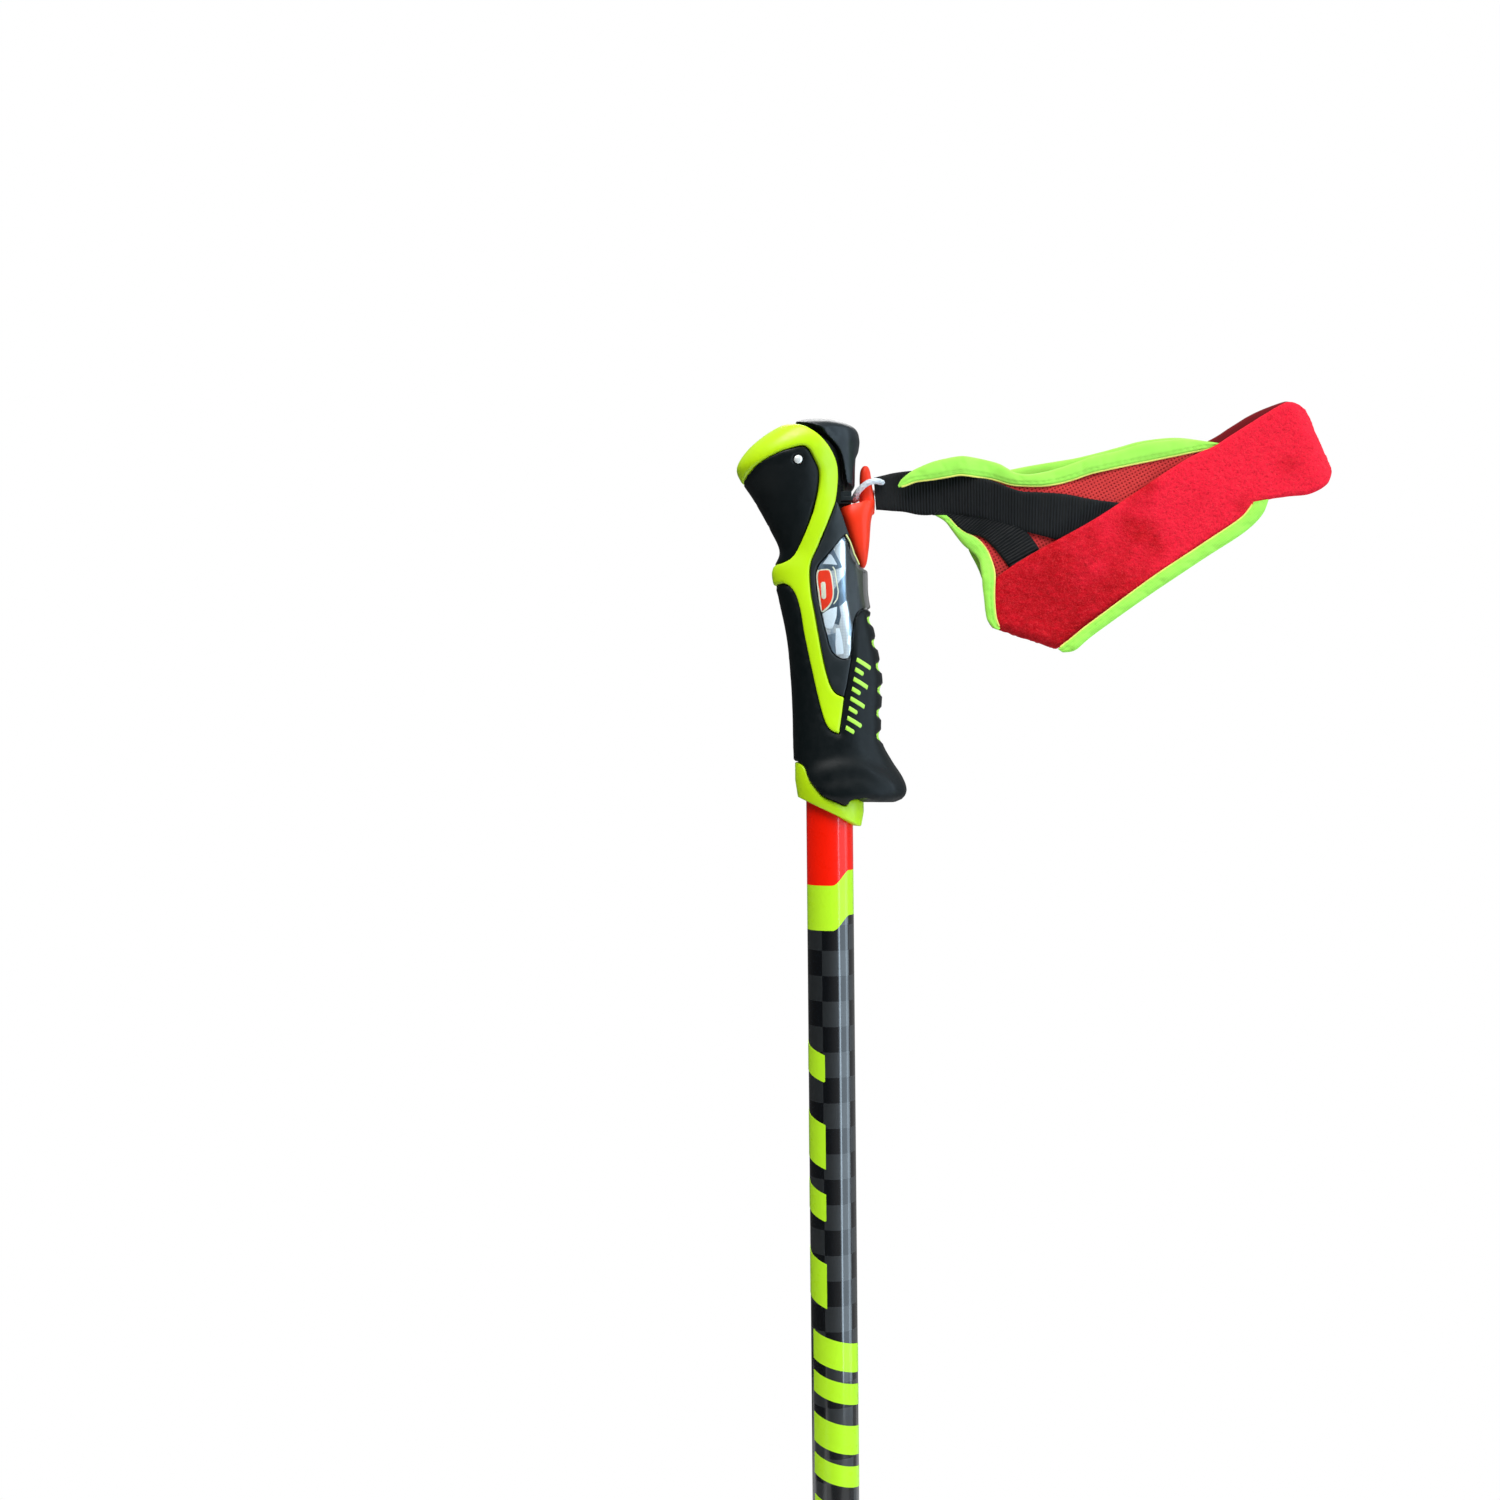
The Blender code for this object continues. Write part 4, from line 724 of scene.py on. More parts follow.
def mirrored(flat):
    """Close a near-side outline over the seam with its far-side copy."""
    near = [tuple(p) for p in flat]
    return near + [(-s, z) for s, z in reversed(near) if s > 1e-6]


def roll_off(distance, radius):
    """How far a surface drops at its rounded edge."""
    share = np.clip(distance / radius, 0.0, 1.0)
    return radius * (1 - np.sqrt(np.maximum(1 - (1 - share) ** 2, 0.0)))


def on_skin(s, z, depth, rear=False):
    angle = s / DOMAIN_RADIUS
    if rear:
        angle = math.copysign(math.pi, angle) - angle
    return grip_place(angle, z, depth)


def skin(rings, rear=False, top=0.0, inner=SKIN, relief=None, spacing=FINE, roll=ROLL):
    """A piece of the grip's skin with rounded edges; relief(s, z) sinks its surface further."""
    rings = [evenly(ring, EDGE_STEP, closed=True) for ring in rings]
    flat, triangles = filled(rings, spacing, edge_rows=(roll * 0.12, roll * 0.4, roll))
    sink = top + roll_off(chain_distance(closed_chains(rings), flat), roll)
    if relief:
        sink = sink + relief(flat[:, 0], flat[:, 1])
    outer = [on_skin(s, z, d, rear) for (s, z), d in zip(flat, sink)]
    return sheet_solid(flat, triangles, outer, [on_skin(s, z, inner, rear) for s, z in flat])


# ---------------------------------------------------------------- grip outlines (x, z)

FRAME_REAR_EDGE = [
    (-12.2, 88.2), (-8.5, 86.9), (-3.9, 83.6), (-0.2, 79.7), (2.6, 75.4), (3.9, 71.0),
    (3.9, 65.5), (3.0, 59.0), (0.9, 53.4), (-1.4, 48.1), (-4.1, 42.2), (-6.4, 37.5),
    (-7.3, 33.8), (-7.4, 29.0), (-6.9, 23.2), (-5.8, 17.0), (-4.4, 8.5), (-2.6, -1.5),
    (-0.4, -9.7), (2.0, -13.6), (5.5, -15.2),
]
FINGER_PANEL_EDGE = [
    (3.5, -29.0), (0.2, -27.9), (-2.3, -24.4), (-4.8, -15.5), (-7.5, -3.0), (-9.9, 9.0),
    (-11.2, 17.5), (-12.7, 23.2), (-14.8, 26.9), (-17.5, 28.6),
]
BAND_FRONT_Z = 28.7
HEAD_PANEL_EDGE = [
    (-32.6, 68.4), (-27.7, 72.5), (-20.0, 76.3), (-11.2, 78.9), (-7.8, 78.0), (-5.2, 74.3),
    (-3.1, 69.8), (-3.7, 63.0), (-6.2, 54.6), (-9.5, 46.7), (-13.7, 38.9), (-17.8, 36.6),
]
PANEL_FRONT_TOP_Z = 67.4
PANEL_FRONT_BOTTOM_Z = 36.2
WINDOW_REAR_EDGE = [(13.9, 34.2), (11.8, 35.6), (9.8, 39.5), (8.2, 44.0), (6.7, 46.6)]
WINDOW_FRONT_EDGE = [
    (6.7, 46.6), (4.3, 44.2), (-0.3, 39.1), (-3.9, 35.0), (-5.0, 30.6), (-4.4, 23.1), (-3.1, 16.0),
    (-1.4, 9.2), (0.5, 2.6), (3.4, -0.2), (6.6, -0.7), (8.6, 1.6), (9.5, 9.1), (11.0, 15.6), (13.9, 18.7),
]
PAD_REAR_TOP_Z = 19.0
HOOK_FRONT_EDGE = [(3.7, 58.9), (5.9, 53.4), (7.2, 49.4), (8.6, 45.6)]
PAD_LINE = [(5.7, -14.2), (7.2, -7.0), (8.4, -0.4)]
BUTTON_FRONT_EDGE = [
    (-11.9, 88.9), (-3.6, 86.4), (-0.8, 83.4), (1.6, 81.3), (4.0, 78.6), (5.5, 75.2),
    (6.4, 70.6), (7.3, 66.3),
]
BUTTON_FOOT = [(9.9, 65.4), (11.9, 67.6), (16.0, 68.0), (16.0, 96.0), (-11.9, 96.0)]
COLLAR_TOP_EDGE = [
    (-12.9, -39.6), (-10.6, -41.2), (-8.9, -45.2), (-7.0, -48.6), (-3.5, -52.6), (1.0, -54.6),
    (5.6, -56.4), (7.3, -54.3), (13.2, -53.6),
]


def build_frame():
    """Lime frame round the head panel and down both sides."""
    outer = flat_side([(-40.0, 90.6), *smooth_through(FRAME_REAR_EDGE, 4), (4.6, -21.5),
                       *smooth_through(FINGER_PANEL_EDGE, 4), (-40.0, BAND_FRONT_Z)])
    panel = flat_side([(-40.0, PANEL_FRONT_TOP_Z), *smooth_through(HEAD_PANEL_EDGE, 4),
                       (-40.0, PANEL_FRONT_BOTTOM_Z)])
    rings = [inset(mirrored(outer), GAP / 2), inset(mirrored(panel), -GAP / 2)]
    piece("lime_frame", skin(rings), LOOKS["grip_lime"], replaces=["grip_frame"])


def build_head_panel():
    """Finger-side panel with a chamfer along its rear edge and three faint grooves."""
    border = smooth_through(HEAD_PANEL_EDGE, 4)
    edge = flat_side([(-40.0, PANEL_FRONT_TOP_Z), *border, (-40.0, PANEL_FRONT_BOTTOM_Z)])
    hole = arc(BUTTON_PIN, PIN_RADIUS + 0.5, 0, 330, 11)
    rings = [inset(mirrored(edge), GAP / 2 + 0.05)]
    rings += [[(s * side, z) for s, z in flat_side(hole)] for side in (1, -1)]
    rear_border = [[(s * side, z) for s, z in flat_side(border[12:])] for side in (1, -1)]

    def relief(s, z):
        near = chain_distance(rear_border, np.stack([s, z], axis=1))
        chamfer = 0.75 * (1 - smooth_share(near, 0.4, 4.0))
        grooves = sum(np.exp(-((z - level + 0.004 * s ** 2) / 0.5) ** 2) for level in (71.0, 60.5, 51.5))
        return chamfer + 0.16 * grooves * (1 - smooth_share(np.abs(s), 10.0, 16.0))

    piece("head_panel", skin(rings, top=0.15, relief=relief), LOOKS["soft_black"],
          replaces=["grip_head_panel"])


def build_bezels():
    edge = flat_side([*HOOK_FRONT_EDGE, *smooth_through(WINDOW_FRONT_EDGE[:12], 4), *PAD_LINE[::-1],
                      *smooth_through(FRAME_REAR_EDGE, 4)[28:81][::-1]])
    ring = inset(edge, GAP / 2 + 0.05)
    for side, name in ((1, "left"), (-1, "right")):
        piece("bezel_skin_" + name, skin([[(s * side, z) for s, z in ring]], top=0.1, roll=0.5),
              LOOKS["dark_plastic"], replaces=["bezel_" + name])


def skin_line(points, radius, depth, rear=False, side=1):
    """Thin bead that follows a side-view line on the grip's surface."""
    path = [on_skin(s * side, z, depth, rear) for s, z in evenly(flat_side(points, rear), 0.5)]
    return loft(tube_rings(path, 8, lambda walk, angle: radius))


def build_window():
    """Clear window over foil, with a badge behind it, white glints painted under it as highlights, and a
    light bead along its upper rear edge.
    """
    edge = flat_side([(40.0, 33.9), *smooth_through(WINDOW_REAR_EDGE, 4),
                      *smooth_through(WINDOW_FRONT_EDGE, 4)[1:],
                      (40.0, PAD_REAR_TOP_Z + 0.4)], rear=True)
    full = inset(mirrored(edge), GAP / 2 + 0.05)
    piece("window_glass", skin([full], True, -0.3, 0.4, roll=0.5), LOOKS["window_clear"],
          replaces=["window_shell"])
    piece("window_print", skin([inset(full, 0.1)], True, 1.5, SKIN, roll=0.1, spacing=1.6),
          LOOKS["window_foil"],
          replaces=["window_inlay"])
    corners = [(-4.2, 33.2), (-1.6, 33.6), (0.6, 33.4), (1.5, 31.0), (2.0, 27.0), (2.1, 24.0), (1.6, 21.6),
               (0.2, 19.2), (-2.2, 17.2), (-3.4, 17.6), (-4.0, 22.0), (-4.8, 28.0), (-4.9, 31.5)]
    badge = evenly(smooth_through(flat_side(corners, rear=True), 4, closed=True), 0.6, closed=True)
    bar = flat_side([(-1.4 + a, b) for a,
                     b in arc((-0.8, 27.9), 0.95, 0, 180, 8) + arc((-0.7, 22.9), 0.95, 180, 360, 8)],
                    rear=True)
    outer_line = flat_side([(1.5, 34.4), (2.5, 33.2), (3.1, 29.0), (3.7, 25.0), (3.2, 22.4),
                            (1.6, 20.2), (1.9, 19.9),
                            (3.7, 22.2), (4.2, 25.0), (3.5, 29.2), (2.9, 33.5), (1.9, 34.8)], rear=True)
    triangle = flat_side([(-2.4, 35.5), (0.7, 39.4), (1.4, 39.0), (3.9, 35.1), (1.6, 35.4)], rear=True)
    patch = flat_side([(-2.7, 16.6), (0.2, 18.4), (3.3, 19.3), (3.0, 15.6), (0.9, 10.6), (-1.5, 11.2)],
                      rear=True)
    streak = flat_side([(2.5, 10.9), (4.0, 11.2), (5.2, 6.0), (5.6, 1.2), (2.5, 1.0), (2.2, 5.0)], rear=True)
    for side, name in ((1, "left"), (-1, "right")):
        def facing(ring):
            return [[(s * side, z) for s, z in ring]]
        piece("badge_field_" + name, skin(facing(inset(badge, 0.5)), True, 0.85, 1.2, roll=0.15, spacing=1.0),
              LOOKS["signal_red"], replaces=["badge_" + name])
        piece("badge_rim_" + name, skin(facing(badge), True, 1.05, 1.35, roll=0.15, spacing=1.0),
              LOOKS["badge_cream"])
        piece("badge_bar_" + name, skin(facing(bar), True, 0.7, 0.95, roll=0.1, spacing=0.6),
              LOOKS["badge_cream"])
        piece("badge_line_" + name, skin(facing(outer_line), True, 1.2, 1.35, roll=0.05, spacing=0.5),
              LOOKS["badge_cream"])
        # White patches under the window are painted glints: painted highlights standing for reflections on
        # the clear window.
        glints = [skin(facing(ring), True, 1.38, 1.48, roll=0.05,
                       spacing=0.9) for ring in (triangle, patch, streak)]
        piece("window_glints_" + name, joined(glints), LOOKS["painted_glint_white"])
        piece("window_bead_" + name, skin_line(WINDOW_REAR_EDGE[1:], 0.32, 0.1, side=side),
              LOOKS["edge_yellow"])


NOTCH_HEIGHTS = [14.5 - 8.9 * k for k in range(6)]
NOTCH_REACH = 9.0


def notch_field(s, z):
    """Depth of the palm pad's cross grooves."""
    off = SEAM - np.abs(s)
    reach = np.clip(1 - (off / NOTCH_REACH) ** 2, 0.0, 1.0)
    rows = sum(np.clip(1 - ((z - level) / 2.5) ** 2, 0.0, 1.0) for level in NOTCH_HEIGHTS)
    return 1.5 * np.sqrt(reach) * rows


def ridge_field(s, z):
    """Height of the faint raised arcs on the finger side."""
    rows = sum(np.exp(-((z - level - 0.035 * s ** 2) / 0.55) ** 2)
               for level in (22.5, 20.0, 17.5, 0.5, -5.5, -29.0, -33.5, -38.0))
    return 0.07 * rows * (1 - smooth_share(np.abs(s), 6.0, 9.5))


def pad_edge_field(s, z):
    """A soft step where the palm pad is proud of the finger panel."""
    line = np.interp(z, (-40.0, -28.0, -15.0, 19.0), (24.5, 26.5, 28.5, 33.0))
    return 0.35 * (1 - smooth_share(np.abs(s), line - 2.5, line + 0.5)) * smooth_share(z, -40.0, -30.0)


def build_lower_body():
    """Finger panel, palm pad and bottom flare in one soft sleeve, closed at the rear seam."""
    top = flat_side([(-40.0, BAND_FRONT_Z), *smooth_through(FINGER_PANEL_EDGE, 4)[::-1], (4.6, -21.5),
                     (5.5, -15.2), (7.2, -7.0), (8.6, 1.0),
                     *smooth_through([(8.6, 1.0), (9.5, 9.1), (11.0, 15.6),
                                                                            (13.9, 18.7)], 4)[1:]])
    top = evenly([(s, z - GAP) for s, z in top] + [(SEAM, PAD_REAR_TOP_Z - GAP)], EDGE_STEP)
    bottom = flat_side([(-40.0, -39.5), *smooth_through(COLLAR_TOP_EDGE, 3), (18.5, -55.4), (24.0, -55.6)])
    bottom = evenly([(s, z + GAP) for s, z in bottom] + [(SEAM, -54.9)], EDGE_STEP)
    side_z = np.linspace(bottom[-1][1], top[-1][1], 74)[1:-1]
    near = [tuple(p) for p in top] + [(SEAM, z) for z in side_z[::-1]] + [tuple(p) for p in bottom[::-1]]
    ring = np.array(near + [(-s, z) for s, z in reversed(near) if s > 1e-6])
    flat, triangles = filled([ring], FINE)
    merge = list(range(len(flat)))
    for i, (s, z) in enumerate(flat):
        if s < -SEAM + 1e-4:
            merge[i] = int(np.argmin(np.hypot(flat[:, 0] - SEAM, flat[:, 1] - z)))
    chains = [chain * [side, 1.0] for chain in (top, bottom) for side in (1, -1)]
    s, z = flat[:, 0], flat[:, 1]
    crease = np.array(smooth_through(flat_side([(-9.0, -46.0), (-2.0, -42.8), (9.4, -41.2), (16.0, -43.6),
                                                (22.5, -49.0)]), 4))
    ridge = 0.55 * (1 - smooth_share(chain_distance([crease * [side, 1.0] for side in (1, -1)], flat), 0.2,
                                     4.5))
    sink = (roll_off(chain_distance(chains, flat), 0.6) - ridge + notch_field(s, z) - ridge_field(s, z)
            + pad_edge_field(s, z))
    outer = [on_skin(a, b, d) for (a, b), d in zip(flat, sink)]

    def core_side(a, b):
        x, y, _ = on_skin(a, b, 3.4)
        fade = float(np.interp(b, (-47.0, -43.0), (1.0, 0.0)))
        wall = math.hypot(*on_skin(a, b, 0.0)[:2])
        bore = min(COLLAR_RADIUS + 0.7, wall - SKIN)
        pull = 1 - fade + fade * bore / math.hypot(x, y)
        return x * pull, y * pull, b

    solid = sheet_solid(flat, triangles, outer, [core_side(a, b) for a, b in flat], merge)
    piece("lower_sleeve", solid, LOOKS["soft_black"], replaces=["grip_lower_body"])


def build_palm_inserts():
    """Lime lenses in the palm pad's cross grooves."""
    lens_reach, lens_half = 8.2, 2.0
    bodies = []
    for level in NOTCH_HEIGHTS:
        rings = []
        for off in np.linspace(-lens_reach, lens_reach, 33):
            half = lens_half * math.sqrt(max(1 - (off / (lens_reach + 0.2)) ** 2, 0.0))
            ring = []
            for k in range(14):
                a = 2 * math.pi * k / 14
                z = level + half * math.cos(a)
                sunk = float(notch_field(np.array(SEAM - abs(off)), np.array(z)))
                depth = sunk + 0.1 - 0.4 * math.sin(a)
                angle = math.pi - off / DOMAIN_RADIUS
                ring.append(grip_place(angle, z, depth))
            rings.append(ring)
        bodies.append(loft(rings))
    piece("palm_inserts", joined(bodies), LOOKS["mark_lime"])


def build_pad_marks():
    """Plain slanted bars along the palm pad's front line, on both sides."""
    for side, name in ((1, "left"), (-1, "right")):
        bars = []
        for k in range(8):
            share = k / 7
            x, z = 13.1 - 4.4 * share, -2.6 - 25.7 * share
            reach = 2.7 if k % 2 == 0 else 1.6
            slip = 0.0 if k % 2 == 0 else -1.1
            bar = [(x + slip - reach, z + 0.62 * (reach - slip) + 0.75),
                   (x + slip + reach, z - 0.62 * (reach + slip) + 0.75),
                   (x + slip + reach - 0.5, z - 0.62 * (reach + slip) - 0.75),
                   (x + slip - reach - 0.5, z + 0.62 * (reach - slip) - 0.75)]
            bars.append(skin([[(s * side, h) for s, h in flat_side(bar)]], top=-0.14, inner=0.25, roll=0.12,
                             spacing=0.9))
        piece("pad_marks_" + name, joined(bars), LOOKS["mark_lime"])


def collar_top(angle):
    """Upper edge height of the collar at an angle from the finger side."""
    edge = [(math.acos(max(min(-x / COLLAR_RADIUS, 1.0), -1.0)), z) for x,
            z in smooth_through(COLLAR_TOP_EDGE, 4)]
    return float(np.interp(angle, [a for a, _ in edge], [z for _, z in edge]))


def build_collar():
    """Lime collar between the grip and the shaft, cut on the slant."""
    sides, slope, edge = 144, -10.5 / 24.5, 0.7
    rings = []
    for i in range(sides):
        angle = 2 * math.pi * i / sides
        c, s = -math.cos(angle), -math.sin(angle)
        high = collar_top(min(angle, 2 * math.pi - angle))
        low = -59.0 + slope * COLLAR_RADIUS * c
        outside = [(COLLAR_RADIUS - edge * (1 - math.sin(t)), high - edge * (1 - math.cos(t)))
                   for t in np.linspace(0, math.pi / 2, 5)]
        outside.append((COLLAR_RADIUS, (high + low) / 2))
        outside += [(COLLAR_RADIUS - 0.9 - edge * (1 - math.cos(t)), low + edge * (1 - math.sin(t)))
                    for t in np.linspace(0, math.pi / 2, 5)]
        profile = outside + [(SHAFT_RADIUS + GAP, low + 0.2), (SHAFT_RADIUS + GAP, high)]
        rings.append([(r * c, r * s, z) for r, z in profile])
    piece("collar", loft(rings, closed_way=True), LOOKS["grip_lime"], replaces=["grip_collar"])
    seat = []
    for i in range(72):
        angle = 2 * math.pi * i / 72
        c, s = -math.cos(angle), -math.sin(angle)
        high = collar_top(min(angle, 2 * math.pi - angle))
        profile = [(10.7, high + 5.0), (10.7, high - 1.5), (SHAFT_RADIUS + GAP / 2, high - 1.5),
                   (SHAFT_RADIUS + GAP / 2, high + 5.0)]
        seat.append([(r * c, r * s, z) for r, z in profile])
    piece("collar_seat", loft(seat, closed_way=True), LOOKS["core_black"])


# ---------------------------------------------------------------- mechanism

def grip_rings(depth_at, heights, sides):
    return [[grip_place(2 * math.pi * i / sides, h,
                        depth_at(2 * math.pi * i / sides, h)) for i in range(sides)]
            for h in heights]


def build_button():
    """Release button: the grip's top rear corner, with a scooped hollow on each side."""
    def scoop(angle, height):
        x, _, _ = grip_place(angle, height, 0.0)
        middle = 6.6 - 0.012 * (height - 64.0) ** 2
        side = smooth_share(abs(math.sin(angle)), 0.35, 0.8)
        level = smooth_share(height, 64.0, 70.0) * (1 - smooth_share(height, 84.0, 89.5))
        hollow = 0.9 * math.exp(-((x - middle) / 3.6) ** 2) * float(side * level)
        rear_edge = float(np.interp(height, (66.8, 75.7, 79.4, 84.0), (9.8, 10.5, 12.3, 14.5)))
        return 0.25 + hollow + 0.9 * float(smooth_share(x, rear_edge, rear_edge + 1.1))

    heights = np.concatenate([np.linspace(62, 84, 45), np.linspace(84.5, 90.5, 20),
                              [90.9, 91.3, 91.6, 91.8, TOP_Z]])
    button = mesh_object("button_skin", *loft(grip_rings(scoop, heights, 120)))
    outline = smooth_through(BUTTON_FRONT_EDGE, 5) + BUTTON_FOOT
    combined(button, mesh_object("button_side", *prism(outline, 40.0)), "INTERSECT")
    melted(button, 0.35, 6)
    piece("button_skin", button, LOOKS["button_black"], "button", ["release_button"])


def build_pin():
    """Domed pin with a chamfered rim, through the head panel."""
    half = 19.6
    rows = [(0.0, -half - 0.25), (0.9, -half - 0.18), (1.35, -half), (PIN_RADIUS, -half + 0.3)]
    rows += [(r, -y) for r, y in reversed(rows)]
    rings = []
    for r, y in rows:
        rings.append([(BUTTON_PIN[0] + max(r, 0.02) * math.cos(a), y,
                       BUTTON_PIN[1] + max(r, 0.02) * math.sin(a))
                      for a in np.linspace(0, 2 * math.pi, 48, endpoint=False)])
    piece("pin_polished", loft(rings), LOOKS["pin_silver"], replaces=["button_pin"])


HOOK_BODY = [
    (35.2, 12.4, 14.4, 2.6), (36.6, 11.8, 15.1, 4.6), (40.0, 10.5, 15.7, 6.6), (45.0, 8.5, 16.3, 8.2),
    (49.0, 7.1, 16.6, 9.0), (52.3, 6.0, 16.9, 9.5), (54.8, 5.2, 17.5, 9.6), (57.2, 4.5, 18.3, 9.2),
    (59.4, 4.2, 18.6, 8.4),
]
HOOK_HORN = [
    (56.0, 12.2, 18.4, 3.7), (60.6, 12.6, 18.6, 3.4), (64.0, 12.7, 18.2, 3.2), (66.0, 12.8, 17.7, 3.0),
    (70.0, 12.8, 17.2, 2.8), (73.0, 13.2, 16.7, 2.3), (74.6, 14.2, 15.9, 1.1),
]


def hook_loft(stations, heights, lean=0.0):
    """Loft of the hook's sections; its upper sections lean so that its top edge rises to the rear."""
    rings = []
    for height in heights:
        front, rear, half = station_value(stations, height)
        tilt = lean * float(smooth_share(height, 50.0, 59.4))
        ring = []
        for a in np.linspace(0, 2 * math.pi, 72, endpoint=False):
            c, s = math.cos(a), math.sin(a)
            x = (front + rear) / 2 - (rear - front) / 2 * math.copysign(abs(c) ** 0.75, c)
            ring.append((x, -half * math.copysign(abs(s) ** 0.75, s), height + tilt * (x - 12.2)))
        rings.append(ring)
    return loft(rings)


def build_hook():
    hook = mesh_object("hook_skin", *hook_loft(HOOK_BODY, np.linspace(35.2, 59.4, 60), 0.24))
    horn = mesh_object("horn", *hook_loft(HOOK_HORN, np.linspace(56.0, 74.6, 50)))
    combined(hook, horn, "UNION")
    melted(hook, 0.3, 5)
    piece("hook_skin", hook, LOOKS["signal_red"], "hook", ["strap_hook"])


def build_throat():
    """Dark housing round the latch: two cheeks, a stop above it and a shelf below it."""
    parts = []
    for side in (-1, 1):
        cheek, faces = prism([(2.4, 58.9), (5.0, 58.9), (5.0, 66.4), (2.4, 66.4)], 0.35)
        parts.append(([(x, y + side * 8.2, z) for x, y, z in cheek], faces))
    parts.append(prism([(2.4, 64.1), (6.2, 64.1), (6.2, 68.0), (2.4, 68.0)], 6.8))
    parts.append(prism([(2.4, 59.1), (8.6, 59.1), (8.6, 59.8), (2.4, 59.8)], 6.8))
    piece("throat", joined(parts), LOOKS["core_black"])


def build_latch():
    """Sliding latch with two rounded lugs, one above the other."""
    outline = [(4.7, 60.1), (9.6, 60.1), (9.6, 61.7), (6.2, 61.7), (6.2, 62.2), (9.2, 62.2),
               (9.2, 63.8), (5.2, 63.8),
               (4.7, 63.0)]
    latch = mesh_object("latch_lugs", *prism(outline, 7.5))
    melted(latch, 0.22, 4)
    piece("latch_lugs", latch, LOOKS["dark_plastic"], "latch", ["strap_latch"])


# ---------------------------------------------------------------- shaft and tip

def shaft_radius(z):
    return float(np.interp(z, (SHAFT_BOTTOM_Z, SHAFT_TAPER_Z), (SHAFT_END_RADIUS, SHAFT_RADIUS)))


def paint_line(level):
    """Height of a slanted paint edge round the shaft: low on the finger side, high on the palm side."""
    def height(angle):
        off = abs(angle) if angle <= math.pi else 2 * math.pi - angle
        return level + 5.7 * float(smooth_share(off, math.radians(92), math.radians(140)))
    return height


def shaft_piece(name, upper, lower, look, rows, **extra):
    """Length of shaft between two edges, each a height as a function of the turn."""
    sides = 96
    rings = []
    for i in range(sides):
        a = 2 * math.pi * i / sides
        c, s = -math.cos(a), -math.sin(a)
        heights = np.linspace(upper(a), lower(a), rows)
        outer = [(shaft_radius(z) * c, shaft_radius(z) * s, z) for z in heights]
        bore = [((shaft_radius(z) - 1.0) * c, (shaft_radius(z) - 1.0) * s,
                 z) for z in (heights[-1], heights[0])]
        rings.append(outer + bore)
    piece(name, loft(rings, closed_way=True), look, **extra)


def build_shaft():
    red_end, lime_end = paint_line(-86.9), paint_line(-104.1)
    shaft_piece("shaft_red_zone", lambda a: SHAFT_TOP_Z, red_end, LOOKS["shaft_red"], 12,
                replaces=["shaft_tube"])
    shaft_piece("shaft_lime_zone", red_end, lime_end, LOOKS["shaft_lime"], 6, replaces=["shaft_tube"])
    shaft_piece("shaft_carbon_zone", lime_end, lambda a: SHAFT_TAPER_Z, LOOKS["carbon"], 24,
                replaces=["shaft_tube"])
    shaft_piece("shaft_taper_zone", lambda a: SHAFT_TAPER_Z, lambda a: SHAFT_BOTTOM_Z, LOOKS["carbon"], 24,
                replaces=["shaft_tube"])


def shaft_bar(middle_turn, width, top_z, height, slant):
    """Slanted bar of paint round part of the shaft, with rounded corners."""
    turn = math.radians(middle_turn)
    half = width / 2
    corners = [(-half, top_z), (half, top_z - slant), (half, top_z - slant - height), (-half, top_z - height)]
    ring = evenly(corners, 1.0, closed=True)
    flat, triangles = filled([ring], 1.6)
    outer, inner = [], []
    for u, z in flat:
        for rise, side in ((0.14, outer), (-0.1, inner)):
            a = turn + u / SHAFT_RADIUS
            r = shaft_radius(z) + rise
            side.append((r * math.sin(a), -r * math.cos(a), z))
    return sheet_solid(flat, triangles, outer, inner)


def build_shaft_marks():
    """Two columns of plain slanted bars: one on the finger side, a lower one that faces the near side."""
    upper = []
    for k in range(4):
        upper.append(shaft_bar(-62.0, 13.2, -147.0 - 26.6 * k, 10.5 if k % 2 == 0 else 17.0, 4.6))
    lower = []
    for k in range(16):
        lower.append(shaft_bar(9.0, 23.0, -257.5 - 31.6 * k, 11.0, 6.6))
        lower.append(shaft_bar(9.0, 23.0, -273.0 - 31.6 * k, 8.0, 6.6))
    piece("shaft_marks_upper", joined(upper), LOOKS["shaft_lime"])
    piece("shaft_marks_lower", joined(lower), LOOKS["shaft_lime"])


